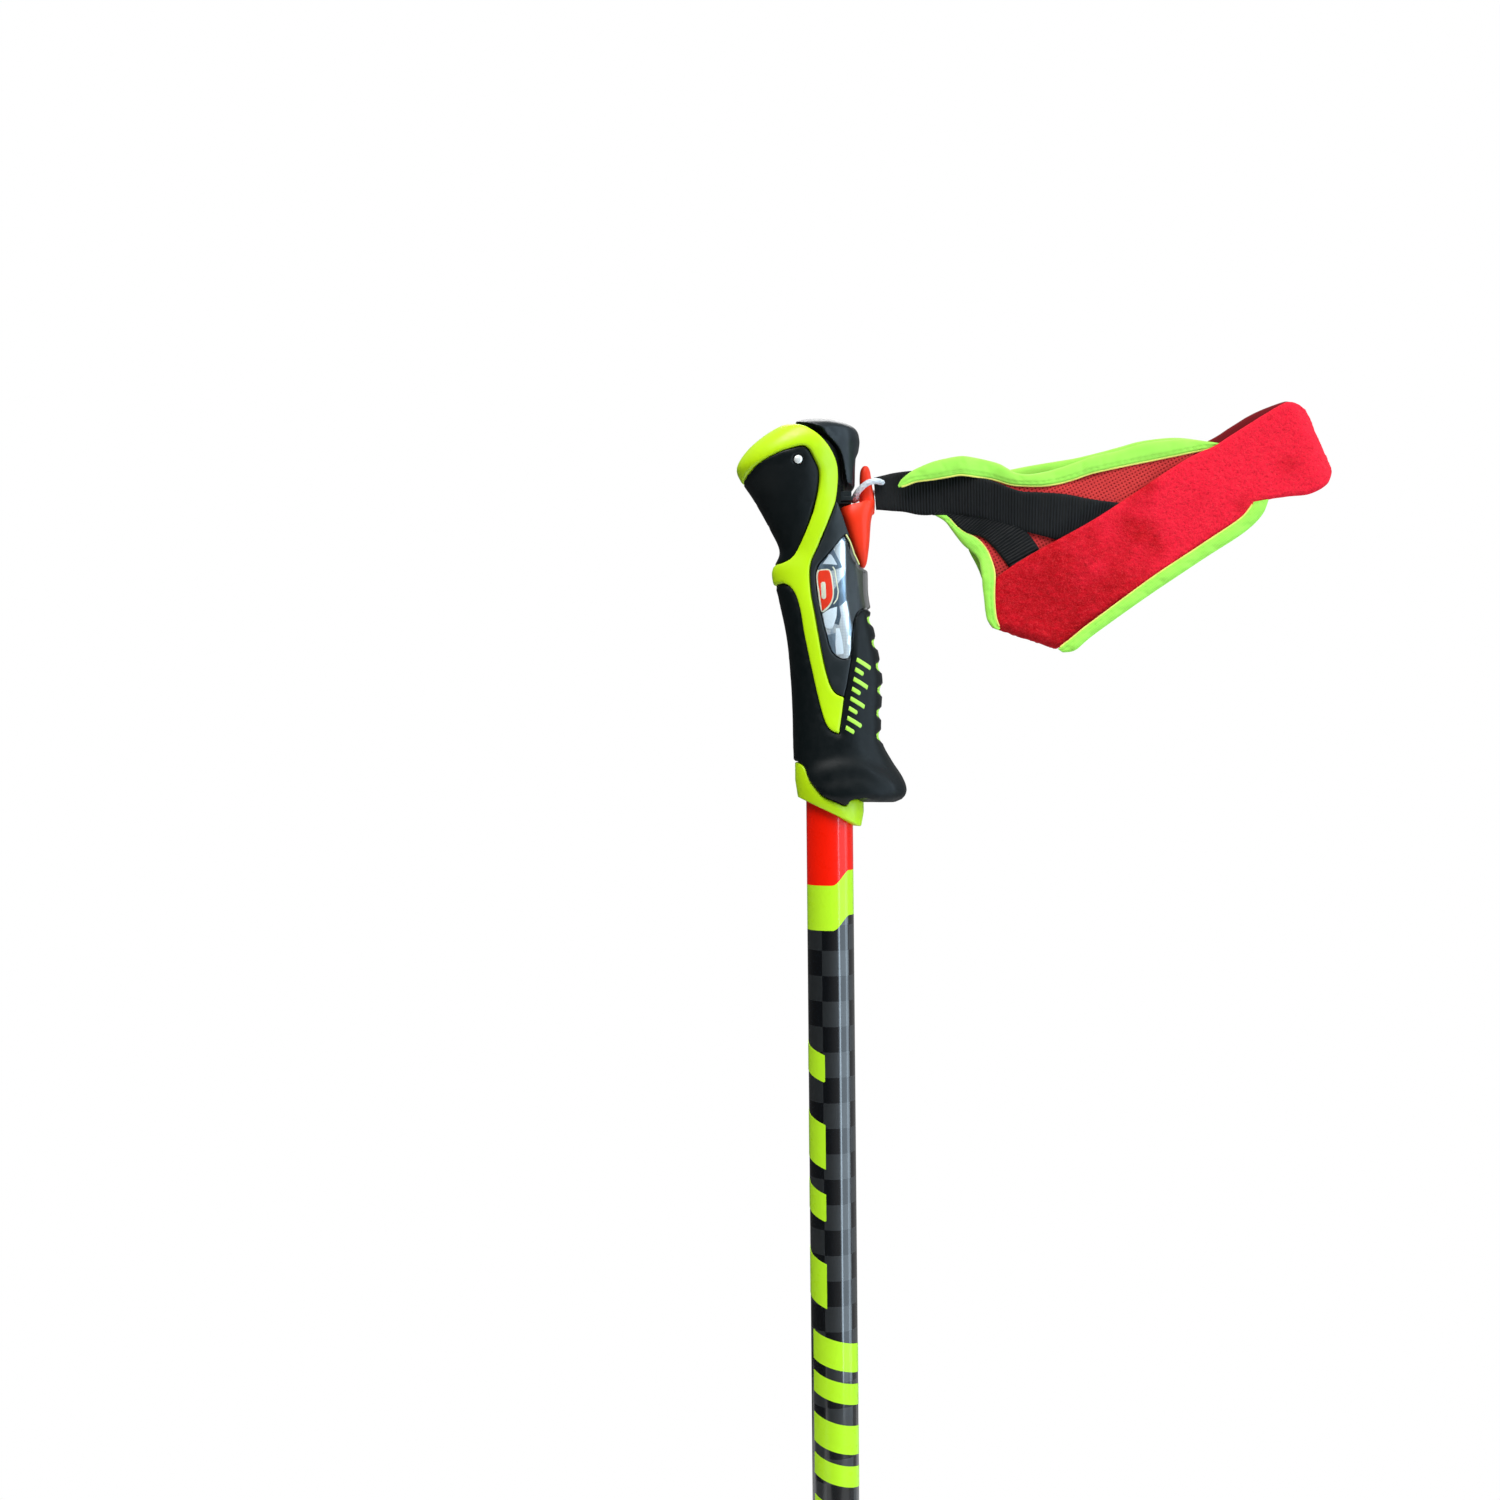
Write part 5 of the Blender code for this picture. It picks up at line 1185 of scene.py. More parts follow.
def build_tip():
    """Ferrule with grip rings, ribbed basket, stud and toothed carbide point."""
    seat_top = SHAFT_BOTTOM_Z + 22.0
    rows = [
        (3.0, TIP_Z + 12.0), (4.4, TIP_Z + 12.3), (4.8, TIP_Z + 14.0), (6.2, BASKET_Z - 6.0),
        (7.9, BASKET_Z - 6.0),
        (8.2, BASKET_Z - 5.6), (8.2, BASKET_Z - 2.4), (7.9, BASKET_Z - 2.0), (6.9, BASKET_Z - 2.0),
        (6.9, BASKET_Z + 9.0), (7.7, BASKET_Z + 9.8), (8.0, BASKET_Z + 12.0),
    ]
    for k in range(6):
        z = BASKET_Z + 14.0 + 3.6 * k
        rows += [(7.9, z), (7.45, z + 0.5), (7.45, z + 1.3), (7.85, z + 1.8)]
    rows += [(7.4, seat_top - 0.6), (6.9, seat_top), (5.8, seat_top), (5.8, SHAFT_BOTTOM_Z),
             (3.0, SHAFT_BOTTOM_Z)]
    piece("ferrule_skin", turned(rows, 72), LOOKS["core_black"], replaces=["tip_ferrule"])

    def ribs(angle, radius, z):
        on_top = 1.0 if z > BASKET_Z + 1.0 and 12.0 < radius < 24.0 else 0.0
        return 0.25 * on_top * math.cos(18 * angle)

    saucer = [(7.2, BASKET_Z - 1.6), (8.8, BASKET_Z - 1.6), (8.8, BASKET_Z - 2.6), (12.0, BASKET_Z - 2.6)]
    saucer += [(12.0 + 12.0 * t, BASKET_Z - 2.6 + 5.0 * t) for t in np.linspace(0.15, 1.0, 7)]
    saucer += [(24.0 + math.cos(a), BASKET_Z + 3.6 + 1.4 * math.sin(a)) for a in np.linspace(-1.0, 2.2, 9)]
    saucer += [(23.0 - 11.5 * t, BASKET_Z + 5.0 - 3.0 * t) for t in np.linspace(0.1, 1.0, 9)]
    saucer += [(10.6, BASKET_Z + 3.0), (10.1, BASKET_Z + 7.4), (9.6, BASKET_Z + 8.0), (7.2, BASKET_Z + 8.0)]
    piece("basket_skin", turned(saucer, 144, ribs), LOOKS["basket_lime"], replaces=["snow_basket"])
    stud = [(2.2, TIP_Z + 4.0), (2.4, TIP_Z + 4.2), (2.7, TIP_Z + 11.4), (2.7, TIP_Z + 34.0)]
    piece("stud_polished", turned_solid(stud, 48), LOOKS["steel"], replaces=["tip_stud"])
    crown = []
    for r, z, bite in ((1.0, 0.55, 0.0), (1.75, 0.0, 0.5), (2.4, 0.8, 0.0), (2.4, 3.5, 0.0), (2.2, 3.7, 0.0)):
        ring = []
        for k in range(64):
            a = 2 * math.pi * k / 64
            ring.append((r * math.cos(a), r * math.sin(a), TIP_Z + z + bite * (0.5 + 0.5 * math.cos(8 * a))))
        crown.append(ring)
    piece("carbide_crown", loft(crown), LOOKS["carbide"], replaces=["carbide_tip"])


# ---------------------------------------------------------------- strap

CORD_NEAR_SIDE = [
    (24.0, -0.9, 67.6), (22.0, -1.6, 67.7), (20.5, -3.2, 67.9), (18.4, -4.9, 68.0), (15.6, -5.3, 67.2),
    (13.2, -5.0, 65.5), (11.5, -4.0, 63.6), (10.5, -2.0, 61.8),
]
CORD_FAR_SIDE = [
    (10.6, 2.0, 61.6), (11.6, 3.9, 62.4), (14.0, 4.9, 63.6), (17.0, 5.0, 64.6), (19.4, 4.6, 65.2),
    (21.4, 3.6, 65.5), (22.8, 2.0, 65.6), (24.0, 0.9, 65.6),
]

WEB_TOP = [
    (18.1, 69.7), (22.4, 70.7), (26.2, 71.5), (33.6, 72.2), (42.0, 71.8), (51.0, 70.4),
    (60.1, 68.2), (65.8, 66.2),
    (69.5, 64.5), (74.3, 62.9), (81.6, 62.4), (87.7, 61.9), (93.3, 61.1), (97.5, 60.1),
    (103.9, 59.0), (118.5, 57.6),
]
WEB_FOOT = [
    (18.9, 57.3), (20.7, 57.2), (24.9, 56.8), (29.8, 56.4), (34.7, 55.3), (38.6, 55.0),
    (43.2, 55.3), (50.0, 55.0),
    (60.0, 52.8), (70.0, 49.6), (75.8, 47.4), (83.0, 45.4), (89.4, 43.7), (97.0, 41.8),
    (108.0, 39.0), (116.0, 37.0),
]
BRANCH_TOP = [(44.0, 58.0), (52.0, 57.0), (62.0, 54.5), (70.0, 51.5), (75.8, 47.4),
              (81.5, 39.5), (85.5, 33.5)]
BRANCH_FOOT = [
    (40.5, 55.0), (46.4, 54.2), (50.1, 50.3), (53.5, 47.8), (56.2, 47.0), (59.3, 45.8),
    (62.7, 42.7), (66.0, 38.5),
    (69.3, 34.1), (73.5, 28.5),
]
TOP_OUTER = [
    (27.0, 66.0), (28.5, 68.4), (32.2, 71.3), (34.7, 72.6), (39.6, 74.6), (44.5, 75.9),
    (51.1, 76.9), (56.4, 76.3),
    (62.1, 75.1), (65.9, 73.9), (69.0, 72.0), (72.0, 70.2), (76.5, 69.5), (82.4, 70.2),
    (89.0, 71.9), (93.9, 73.5),
    (100.0, 75.7), (104.1, 76.7), (111.6, 78.3), (123.1, 81.3), (138.4, 82.3), (151.3, 79.9),
]
TOP_INNER = [
    (27.4, 65.3), (29.5, 65.6), (32.2, 66.7), (34.6, 67.4), (40.7, 68.1), (46.9, 69.0),
    (51.0, 69.5), (56.3, 68.9),
    (62.0, 68.2), (65.8, 67.2), (70.2, 65.7), (75.5, 65.1), (81.7, 64.9), (87.7, 65.6),
    (93.8, 67.2), (98.7, 68.9),
    (104.0, 70.3), (123.2, 74.1), (140.4, 77.4), (151.0, 79.4),
]
FAR_OUTER = [
    (30.5, 66.6), (33.0, 69.6), (38.0, 72.2), (44.5, 73.8), (51.0, 74.4), (58.0, 74.0),
    (64.0, 73.5), (70.4, 73.7),
    (78.5, 75.2), (84.3, 76.2), (91.0, 77.3), (98.5, 78.5), (107.8, 80.6), (115.6, 82.7), (124.3, 84.9),
    (138.0, 86.0), (151.0, 84.4), (158.0, 83.0),
]
FAR_INNER = [
    (31.0, 66.0), (36.0, 67.6), (44.5, 68.8), (51.0, 69.5), (58.0, 69.2), (64.0, 68.6),
    (70.4, 68.8), (78.5, 69.6),
    (84.3, 70.1), (91.0, 71.0), (98.5, 72.3), (107.8, 74.6), (115.6, 76.6), (124.3, 78.8), (138.0, 81.4),
    (151.0, 83.4), (158.0, 82.6),
]
THUMB_OUTER = [
    (41.4, 55.0), (45.2, 52.6), (47.6, 49.5), (50.0, 46.1), (52.5, 43.0), (55.4, 40.5),
    (57.4, 38.1), (58.2, 36.1),
    (58.4, 34.0), (58.7, 30.6), (58.8, 27.2), (59.3, 22.4), (59.8, 16.9), (60.6, 13.5),
    (62.6, 10.9), (64.6, 10.0),
]
THUMB_INNER = [
    (46.5, 54.7), (47.8, 52.6), (50.2, 50.0), (52.6, 48.1), (54.3, 47.3), (57.3, 45.5),
    (59.3, 43.4), (61.3, 40.4),
    (62.7, 36.3), (63.4, 32.5), (63.4, 29.1), (63.2, 25.7), (63.2, 20.6), (63.6, 15.5),
    (64.3, 12.7), (65.2, 10.6),
]
FAR_THUMB_OUTER = [
    (44.5, 57.0), (48.3, 54.6), (51.0, 51.0), (53.0, 48.0), (54.2, 45.3), (56.1, 40.7),
    (58.5, 36.5), (60.6, 32.3),
    (61.9, 28.6), (62.4, 24.0), (62.9, 18.6), (63.7, 15.2), (65.7, 12.6), (67.6, 11.8),
]
FAR_THUMB_INNER = [
    (49.7, 56.6), (51.0, 54.5), (53.4, 51.9), (57.5, 49.2), (60.5, 47.4), (62.5, 45.3),
    (64.5, 42.3), (65.9, 38.2),
    (66.6, 34.4), (66.6, 31.0), (66.4, 27.6), (66.4, 22.5), (66.8, 17.4), (68.4, 12.4),
]
BAND_UPPER = [
    (63.2, 9.9), (63.6, 29.4), (102.9, 52.8), (134.3, 73.1), (147.4, 79.4), (153.5, 83.2), (170.7, 93.7),
    (176.5, 95.9), (181.8, 94.2), (185.0, 90.0),
]
BAND_LOWER = [
    (86.8, 2.2), (97.5, 10.5), (122.5, 28.6), (157.0, 51.1), (165.5, 57.9), (174.2, 59.7), (183.8, 60.8),
    (191.0, 65.0), (193.9, 71.0),
]
BOTTOM_OUTER = [
    (89.0, 1.2), (93.5, 2.0), (100.1, 7.4), (119.4, 21.0), (142.5, 36.2), (157.9, 46.0), (164.9, 52.6),
    (167.4, 58.6),
]
BOTTOM_INNER = [
    (86.9, 2.6), (92.6, 6.9), (97.9, 11.2), (110.6, 20.4), (122.8, 29.2), (140.0, 40.4), (155.6, 50.6),
    (160.4, 55.6), (161.4, 57.6),
]


def spread_out(grid):
    """The far layer reaches a little further from the grip than the near one."""
    far = 1 + np.maximum(grid[..., 1], 0.0) / 300.0
    return np.stack([grid[..., 0] * far + (far - 1) * 30.6, grid[..., 1],
                     grid[..., 2] * far + (far - 1) * 34.8],
                    axis=-1)


STITCH_LENGTH = 1.7
STITCH_PITCH = 2.7


def wrist_spread(x):
    """Half the distance between the strap's two layers: closed at the neck, open at the wrist."""
    return NECK_HALF + (WRIST_HALF - NECK_HALF) * smooth_share(x, 40.0, 85.0)


def ribbon_grid(edge_a, edge_b, side, step, columns, out, shared=True):
    """Middle points of a strip between two edge curves; out(x, z, v) is its height off the layer."""
    a = np.array(smooth_through(edge_a, 6))
    b = np.array(smooth_through(edge_b, 6))
    rows = int(max(walked(a)[-1], walked(b)[-1]) / step)
    a, b = evenly(a, count=rows), evenly(b, count=rows)
    v = np.linspace(0.0, 1.0, columns)
    flat = a[:, None, :] + (b - a)[:, None, :] * v[None, :, None]
    x, z = flat[..., 0], flat[..., 1]
    level = wrist_spread(x) + out(x, z, v[None, :] + 0 * x)
    grid = np.stack([x, side * level, z], axis=2)
    return spread_out(grid) if shared else grid


def normals_of(grid, side, loop=False):
    ahead = np.roll(grid, -1, 0) - np.roll(grid, 1, 0) if loop else np.gradient(grid, axis=0)
    over = np.gradient(grid, axis=1)
    normal = np.cross(ahead, over)
    normal /= np.maximum(np.linalg.norm(normal, axis=2, keepdims=True), 1e-9)
    middle = normal[len(normal) // 4 if loop else len(normal) // 2, normal.shape[1] // 2]
    return normal * (1.0 if middle[1] * side > 0 else -1.0)


def cloth(grid, side, thickness, relief=0.0, loop=False):
    """Closed strip of cloth round a grid of middle points, relief outside; its inner faces come first."""
    rows, columns = grid.shape[:2]
    normal = normals_of(grid, side, loop)
    thick = np.broadcast_to(thickness, (rows, columns))[..., None] / 2
    raised = np.broadcast_to(relief, (rows, columns))[..., None]
    outer = grid + normal * (thick + raised)
    inner = grid - normal * thick
    count = rows * columns
    points = np.vstack([outer.reshape(-1, 3), inner.reshape(-1, 3)])
    ways = [(i, (i + 1) % rows) for i in range(rows if loop else rows - 1)]
    cells = [(i * columns + k, i * columns + k + 1, j * columns + k + 1, j * columns + k)
             for i, j in ways for k in range(columns - 1)]
    faces = [[count + d, count + c, count + b, count + a] for a, b, c, d in cells]
    faces += [[a, b, c, d] for a, b, c, d in cells]
    for i, j in ways:
        a, d = i * columns, j * columns
        faces.append([a, d, count + d, count + a])
        a, d = a + columns - 1, d + columns - 1
        faces.append([d, a, count + a, count + d])
    if not loop:
        for k in range(columns - 1):
            a, b = k, k + 1
            faces.append([b, a, count + a, count + b])
            a, b = (rows - 1) * columns + k, (rows - 1) * columns + k + 1
            faces.append([a, b, count + b, count + a])
    return [tuple(p) for p in points], faces


def crown_of(columns, thickness, sharpness):
    """Thickness across a strip: full in the middle, thin at both edges."""
    v = np.linspace(-1.0, 1.0, columns)
    return thickness * np.maximum(1 - np.abs(v) ** sharpness, 0.02) ** 0.5


def stitch_row(line, normal):
    """Row of thread stitches along a line on a strip."""
    along = walked(line)
    bodies = []
    stop = 2.5
    while stop + STITCH_LENGTH < along[-1] - 2.5:
        walks = np.linspace(stop, stop + STITCH_LENGTH, 7)
        path = np.stack([np.interp(walks, along, line[:, k]) for k in range(3)], axis=1)
        dip = np.sin(np.linspace(0, math.pi, 7)) * 0.26 - 0.20
        middle = int(np.searchsorted(along, stop + STITCH_LENGTH / 2))
        path = path + normal[min(middle, len(normal) - 1)] * dip[:, None]
        bodies.append(loft(tube_rings(path, 7, lambda walk, a: 0.17)))
        stop += STITCH_PITCH
    return joined(bodies)


def value_noise(points, size, seed):
    """Smooth noise, about -1 to 1, with features of this size in millimetres."""
    shift = Vector((seed * 17.3, seed * 5.1, seed * 9.7))
    return np.array([noise.noise(Vector(p) / size + shift) for p in points])


def grid_noise(grid, size, seed):
    return value_noise(grid.reshape(-1, 3), size, seed).reshape(grid.shape[:2])


def build_cord():
    """Braided cord from the neck round the horn and back."""
    path = smooth_through(CORD_NEAR_SIDE + [(10.9, 0.0, 62.3)] + CORD_FAR_SIDE, 12)
    path = evenly(path, 0.22)

    def braid(walk, angle):
        twist = 2.6 * walk
        return 1.06 + 0.12 * max(math.sin(4 * angle + twist), math.sin(4 * angle - twist))

    piece("cord_braid", loft(tube_rings(path, 40, braid)), LOOKS["cord_white"], "loop", ["cord_loop"])


def rib_relief(grid, pitch, height):
    """Cross ribs of webbing, counted along the middle of the strip."""
    along = walked(grid[:, grid.shape[1] // 2])
    ribs = (0.5 - 0.5 * np.cos(2 * math.pi * along / pitch)) ** 0.6 * height
    return ribs[:, None] * np.ones(grid.shape[1])[None, :]


def build_webbing():
    """Webbing from the neck into two branches that run under the wrist band, on both layers."""
    made = []
    for side, name in ((-1, "left"), (1, "right")):
        def main_level(x, z, v):
            tuck = smooth_share(z - 0.618 * (x - 102.9) - 52.8, 0.0, 7.0)
            wave = 0.35 * np.sin(x * 0.13 + 2.0 * v) * smooth_share(x, 45.0, 60.0)
            return (WEB_OUT * smooth_share(x, 30.0, 60.0) + wave) * tuck + 0.7 * (1 - tuck)

        def bare(grid):
            return smooth_share(grid[..., 0], 23.0, 30.0)

        grid = ribbon_grid(WEB_TOP, WEB_FOOT, side, 0.24, 34, main_level)
        relief = rib_relief(grid, 1.15, 0.34) * (0.15 + 0.85 * bare(grid)) + 0.07 * grid_noise(grid, 1.4, 3)
        main = mesh_object("webbing_main_" + name, *cloth(grid, side, crown_of(34, PLY, 10), relief))
        piece(main.name, main, LOOKS["webbing_black"], None,
              ["neck_ply_" + name, "webbing_upper_" + name])
        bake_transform(main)

        def branch_level(x, z, v):
            tuck = smooth_share(z - 0.618 * (x - 64.6) - 29.1, 0.0, 5.0)
            return 0.6 + 0.5 * smooth_share(x, 50.0, 62.0) * tuck

        low = ribbon_grid(BRANCH_TOP, BRANCH_FOOT, side, 0.24, 30, branch_level)
        relief = rib_relief(low, 1.15, 0.34) + 0.07 * grid_noise(low, 1.4, 4)
        branch = piece("webbing_branch_" + name, cloth(low, side, crown_of(30, PLY, 10), relief),
                       LOOKS["webbing_black"], "strap", ["webbing_lower_" + name])
        made.append(main)
    return made


def build_mesh():
    """Knitted panel between the bindings, the webbing and the band, dimpled at its holes."""
    for side, name in ((-1, "left"), (1, "right")):
        far = side > 0
        outer_edge, inner_edge = (FAR_OUTER, FAR_INNER) if far else (TOP_OUTER, TOP_INNER)
        a, b = evenly(smooth_through(outer_edge, 4),
                      count=200), evenly(smooth_through(inner_edge, 4), count=200)
        top = [tuple(p) for p in b + (a - b) * 0.3 if 50.0 < p[0] < 141.0]
        thumb_a = evenly(smooth_through(FAR_THUMB_OUTER if far else THUMB_OUTER, 4), count=40)
        thumb_b = evenly(smooth_through(FAR_THUMB_INNER if far else THUMB_INNER, 4), count=40)
        thumb = [tuple(p) for p in thumb_b + (thumb_a - thumb_b) * 0.3 if p[1] > 29.0]
        outline = [(47.0, 61.0), *top, (138.0, 71.5), (106.0, 51.0), (69.0, 27.5), *thumb[::-1]]
        flat, triangles = filled([evenly(outline, 0.45, closed=True)], 0.40)
        x, z = flat[:, 0], flat[:, 1]
        dimple = 0.34 * smooth_share(knit_hole(x, z), 0.30, 0.80)
        swell = 0.5 * value_noise(np.stack([x, z, 0 * x], axis=1), 14.0, 5 + side)
        swell -= 0.5 * np.exp(-((z - 66.2 - 0.32 * (x - 88.0)) / 2.2) ** 2) * smooth_share(x, 74.0, 84.0)
        level = wrist_spread(x) + swell
        outer = np.stack([x, side * (level + 0.62 - dimple), z], axis=1)
        inner = np.stack([x, side * (level - 0.6), z], axis=1)
        solid = sheet_solid(flat, triangles, [tuple(p) for p in outer], [tuple(p) for p in inner])
        knit = piece("mesh_knit_" + name, solid, LOOKS["mesh_red"], "strap", ["mesh_panel_" + name])


def build_binding(place, side, outer_edge, inner_edge, lift=None, shared=True):
    """Puffy stretch binding with a bead along its inner edge and a stitch row beside it."""
    columns, thickness = 20, 2.6
    name = place + ("_left" if side < 0 else "_right")

    def level(x, z, v):
        base = lift(x, z) if lift else 0.0
        return base + 0.35 * np.sin(x * 0.21 + z * 0.17) * (1 - v)

    grid = ribbon_grid(outer_edge, inner_edge, side, 0.5, columns, level, shared)
    v = np.linspace(0.0, 1.0, columns)[None, :]
    along = walked(grid[:, columns // 2])[:, None]
    width = np.linalg.norm(grid[:, 0] - grid[:, -1], axis=1)[:, None]
    seam_at = 1 - np.clip(1.5 / np.maximum(width, 1.0), 0.2, 0.45)
    seam = np.exp(-((v - seam_at) * width / 0.5) ** 2)
    pucker = 0.5 + 0.5 * np.cos(2 * math.pi * along / STITCH_PITCH)
    relief = -seam * (0.10 + 0.18 * pucker) + 0.16 * grid_noise(grid, 4.5,
                                                                11) + 0.05 * grid_noise(grid, 1.2, 12)
    crease = 0.5 - 0.5 * np.cos(2 * math.pi * along / 11.0 + 5.0 * grid_noise(grid, 24.0, 13))
    relief -= 0.30 * crease ** 6 * np.clip(1 - np.abs(v - 0.35) * 2.2, 0.0, 1.0)
    slim = np.clip(width / 4.5, 0.35, 1.0)
    thick = crown_of(columns, thickness, 2.6)[None, :] * slim
    made = piece("edging_" + name, cloth(grid, side, thick, relief), LOOKS["binding_lime"], "strap",
                 ["binding_" + name])
    normal = normals_of(grid, side)
    rise = (thickness / 2 * 0.80 * slim[:, 0] - 0.22)[:, None]
    picks = np.clip(np.round(seam_at[:, 0] * (columns - 1)).astype(int), 0, columns - 1)
    rows = np.arange(len(grid))
    stitches = piece("stitches_" + name, stitch_row(grid[rows, picks] + normal[rows, picks] * rise,
                                                    normal[rows, picks]), LOOKS["stitch_lime"], "strap")
    lip_path = grid[2:-2, -1] + normal[2:-2, -1] * 0.35
    lip = piece("lip_" + name, loft(tube_rings(evenly(lip_path, 0.6), 8, lambda walk, a: 0.34)),
                LOOKS["lip_yellow"], "strap")


def build_bindings():
    def over_neck(x, z):
        return 3.6 * (1 - smooth_share(x, 50.0, 66.0)) + 0.4

    def over_band(x, z):
        return 3.3 * (1 - smooth_share(z, 28.0, 40.0)) + 0.4

    def under_palm(x, z):
        return 2.9 + 0 * x

    build_binding("top", -1, TOP_OUTER, TOP_INNER, over_neck)
    build_binding("top", 1, FAR_OUTER, FAR_INNER, over_neck, shared=False)
    build_binding("thumb", -1, THUMB_OUTER, THUMB_INNER, over_band)
    build_binding("thumb", 1, FAR_THUMB_OUTER, FAR_THUMB_INNER, over_band, shared=False)
    for side in (-1, 1):
        build_binding("bottom", side, BOTTOM_OUTER, BOTTOM_INNER, under_palm)


def build_band():
    """Wrist band: one closed ring of pile cloth with a round end, and its fold by the thumb; its inner faces
    are painted a darker red as shade.
    """
    upper = evenly(smooth_through(BAND_UPPER, 8), count=300)
    lower = evenly(smooth_through(BAND_LOWER, 8), count=300)
    middle = (upper + lower) / 2
    along = walked(middle)
    length = along[-1]
    radius = WRIST_HALF + 1.9
    near_zone, wrist_zone = 4.5, radius
    turn = np.linspace(0, math.pi / 2, 14)[:-1]
    straight = np.linspace(near_zone, length - wrist_zone, int((length - near_zone - wrist_zone) / 0.62))
    walks = np.concatenate([near_zone * (1 - np.cos(turn)), straight,
                            length - wrist_zone * (1 - np.cos(turn[::-1]))])
    columns = 54
    v = np.linspace(0.0, 1.0, columns)
    rings = []
    for walk, side in [(w, -1) for w in walks] + [(w, 1) for w in walks[-2:0:-1]]:
        by_thumb = walk < length / 2
        closeness = max(1 - (walk / near_zone if by_thumb else (length - walk) / wrist_zone), 0.0)
        full = math.sqrt(max(1 - closeness ** 2, 0.0))
        spread = full * (radius - 2.3 * (1 - float(smooth_share(walk, 4.0, 40.0))))
        skew = 6.5 * (1 + side * full) / 2 * (1 - float(smooth_share(walk, 4.0, 45.0)))
        top = np.array([np.interp(walk + skew, along, upper[:, k]) for k in (0, 1)])
        foot = np.array([np.interp(walk + skew, along, lower[:, k]) for k in (0, 1)])
        rise = 3.2 * float(smooth_share(top[0], 118.0, 150.0) * (1 - smooth_share(top[0], 158.0, 180.0)))
        lift = rise * full if side > 0 else 0.0
        flat = foot[None, :] + (top - foot)[None, :] * v[:, None]
        wave = 0.5 * np.sin(walk * 0.11 + 1.7 * v) * full
        rings.append(np.stack([flat[:, 0], side * (spread + wave * side * 0.6), flat[:, 1] + lift * v ** 2],
                              axis=1))
    grid = spread_out(np.array(rings))
    tufts = grid_noise(grid, 1.9, 21)
    loops = grid_noise(grid, 0.85, 22)
    nap = grid_noise(grid, 7.0, 23)
    border = np.minimum(v, 1 - v)[None, :] * 34.0
    edge = smooth_share(border, 0.0, 1.4)
    pile = (0.18 * tufts + 0.26 * loops + 0.12 * nap + 0.25) * edge
    band = piece("wrist_pile", cloth(grid, -1, crown_of(columns, 1.8, 14), pile, loop=True),
                 LOOKS["band_red"],
                 "strap", ["wrist_band"], smooth_angle=70)
    # The ring's inner faces get a darker red: painted shade on the inside of the loop.
    band.data.materials.append(LOOKS["band_inside_painted_shade"])
    for face in band.data.polygons[:len(grid) * (columns - 1)]:
        face.material_index = 1
    return band


# ---------------------------------------------------------------- carried-over nodes, floor, light, camera

def finish_carried_nodes():
    refinish(["grip_core", "shaft_plug"], "core_black")
    refinish(["button_spring", "hook_spring", "hook_pin"], "steel")
    refinish(["strap_tongue"], "webbing_black")


def build_stage():
    """Plain pale floor under the tip."""
    points = [(x, y, TIP_Z) for x, y in ((-1500, -1500), (1500, -1500), (1500, 1500), (-1500, 1500))]
    floor = mesh_object("floor", points, [[0, 1, 2, 3]])
    paint = bpy.data.materials.new("floor_paint")
    paint.use_nodes = True
    paint.node_tree.nodes["Principled BSDF"].inputs["Base Color"].default_value = (0.86, 0.86, 0.86, 1.0)
    paint.node_tree.nodes["Principled BSDF"].inputs["Roughness"].default_value = 0.7
    floor.data.materials.append(paint)


COOL = (0.66, 0.84, 1.0)


def around(turn, distance, height):
    """Place round the object, turned to the right of the direction of the camera."""
    return distance * math.sin(math.radians(turn)), -distance * math.cos(math.radians(turn)), height


def softbox(name, place, target, size, power, height=None, colour=(1.0, 1.0, 1.0)):
    data = bpy.data.lights.new(name, "AREA")
    data.color = colour
    data.energy = power
    data.size = size
    if height:
        data.shape = "RECTANGLE"
        data.size_y = height
    lamp = bpy.data.objects.new(name, data)
    lamp.location = place
    lamp.rotation_euler = (Vector(target) - Vector(place)).to_track_quat("-Z", "Y").to_euler()
    bpy.context.scene.collection.objects.link(lamp)


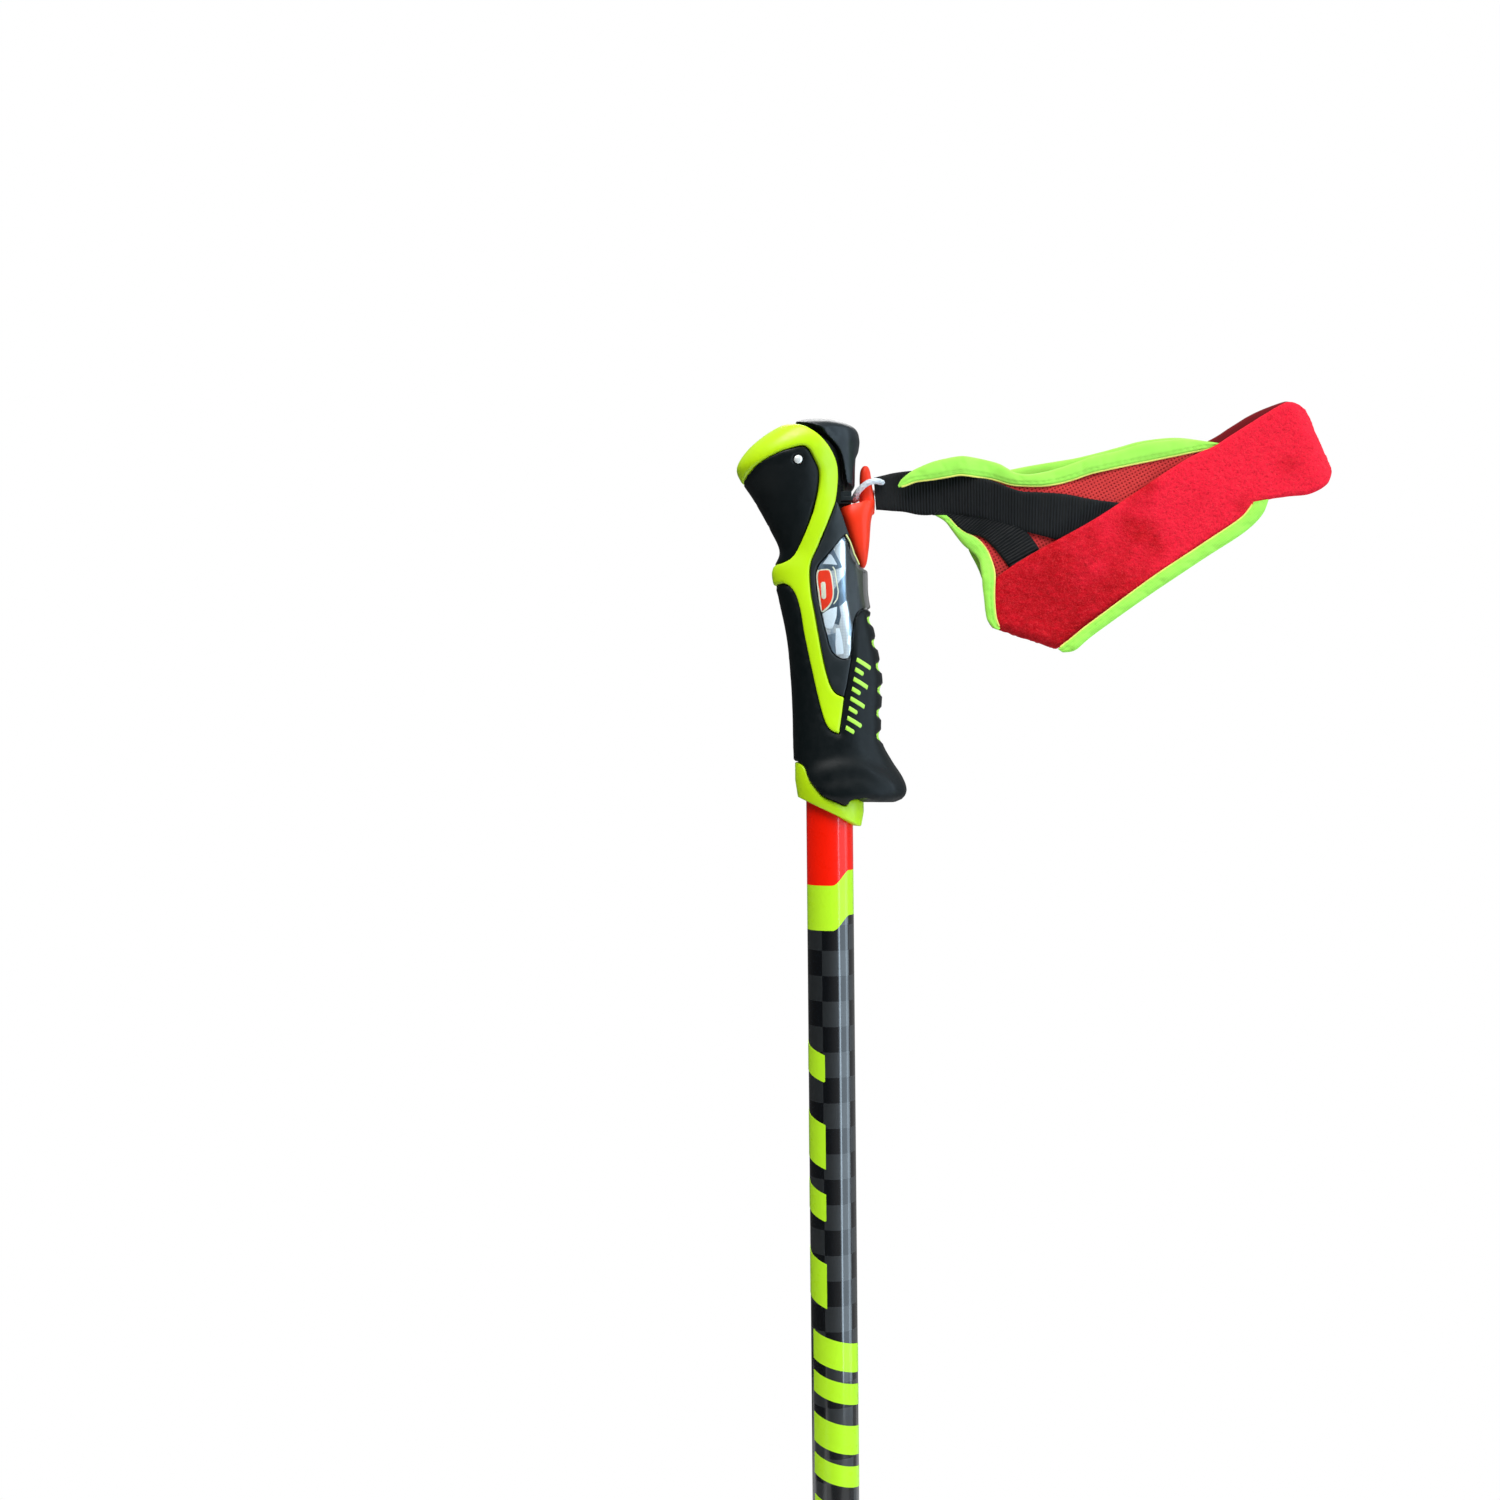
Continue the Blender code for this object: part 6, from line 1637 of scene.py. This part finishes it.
def build_light():
    """White surround that is dim as a light, brighter on the right, with softboxes round the front."""
    world = bpy.data.worlds.new("studio")
    world.use_nodes = True
    tree = world.node_tree
    background = tree.nodes["Background"]
    seen = node(tree, "LightPath").outputs["Is Camera Ray"]
    way = node(tree, "SeparateXYZ", (node(tree, "TexCoord").outputs["Generated"],)).outputs
    glow = maths(tree, "ADD", ramp(tree, way[0], -0.6, 0.9, 0.05, 0.30),
                 ramp(tree, way[2], 0.1, 1.0, 0.0, 0.45))
    tree.links.new(maths(tree, "MAXIMUM", seen, glow), background.inputs["Strength"])
    background.inputs["Color"].default_value = (1.0, 1.0, 1.0, 1.0)
    bpy.context.scene.world = world
    target = (0.03, 0.0, 0.02)
    softbox("key", (-0.45, -0.85, 1.35), target, 0.9, 30.0)
    softbox("panel", around(58.0, 1.2, 0.1), target, 1.1, 11.0, 1.8, COOL)
    softbox("near_strip", around(41.0, 1.2, 0.1), target, 0.12, 4.0, 1.8, COOL)
    softbox("side_strip", around(84.0, 1.2, 0.1), target, 0.34, 5.0, 1.8, COOL)
    softbox("rim", (0.2, 0.9, 1.0), target, 0.8, 9.0)
    bpy.context.scene.view_settings.view_transform = "Standard"


CAMERA_DISTANCE = 0.600
FRAME_WIDTH = 0.5805
CAMERA_ROLL = -0.0092


def build_camera():
    data = bpy.data.cameras.new("camera")
    data.sensor_width = 36.0
    data.lens = data.sensor_width * CAMERA_DISTANCE / FRAME_WIDTH
    data.clip_start = 0.01
    camera = bpy.data.objects.new("camera", data)
    turn = Matrix.Rotation(math.pi / 2, 4, "X") @ Matrix.Rotation(CAMERA_ROLL, 4, "Z")
    camera.matrix_world = Matrix.Translation((-0.03057, -CAMERA_DISTANCE, -0.03483)) @ turn
    bpy.context.scene.collection.objects.link(camera)
    bpy.context.scene.camera = camera


build_camera()
build_stage()
build_light()
build_shaft()
build_shaft_marks()
build_tip()
build_frame()
build_head_panel()
build_bezels()
build_window()
build_lower_body()
build_palm_inserts()
build_pad_marks()
build_collar()
build_button()
build_pin()
build_hook()
build_throat()
build_latch()
build_cord()
build_webbing()
build_mesh()
build_bindings()
build_band()
finish_carried_nodes()
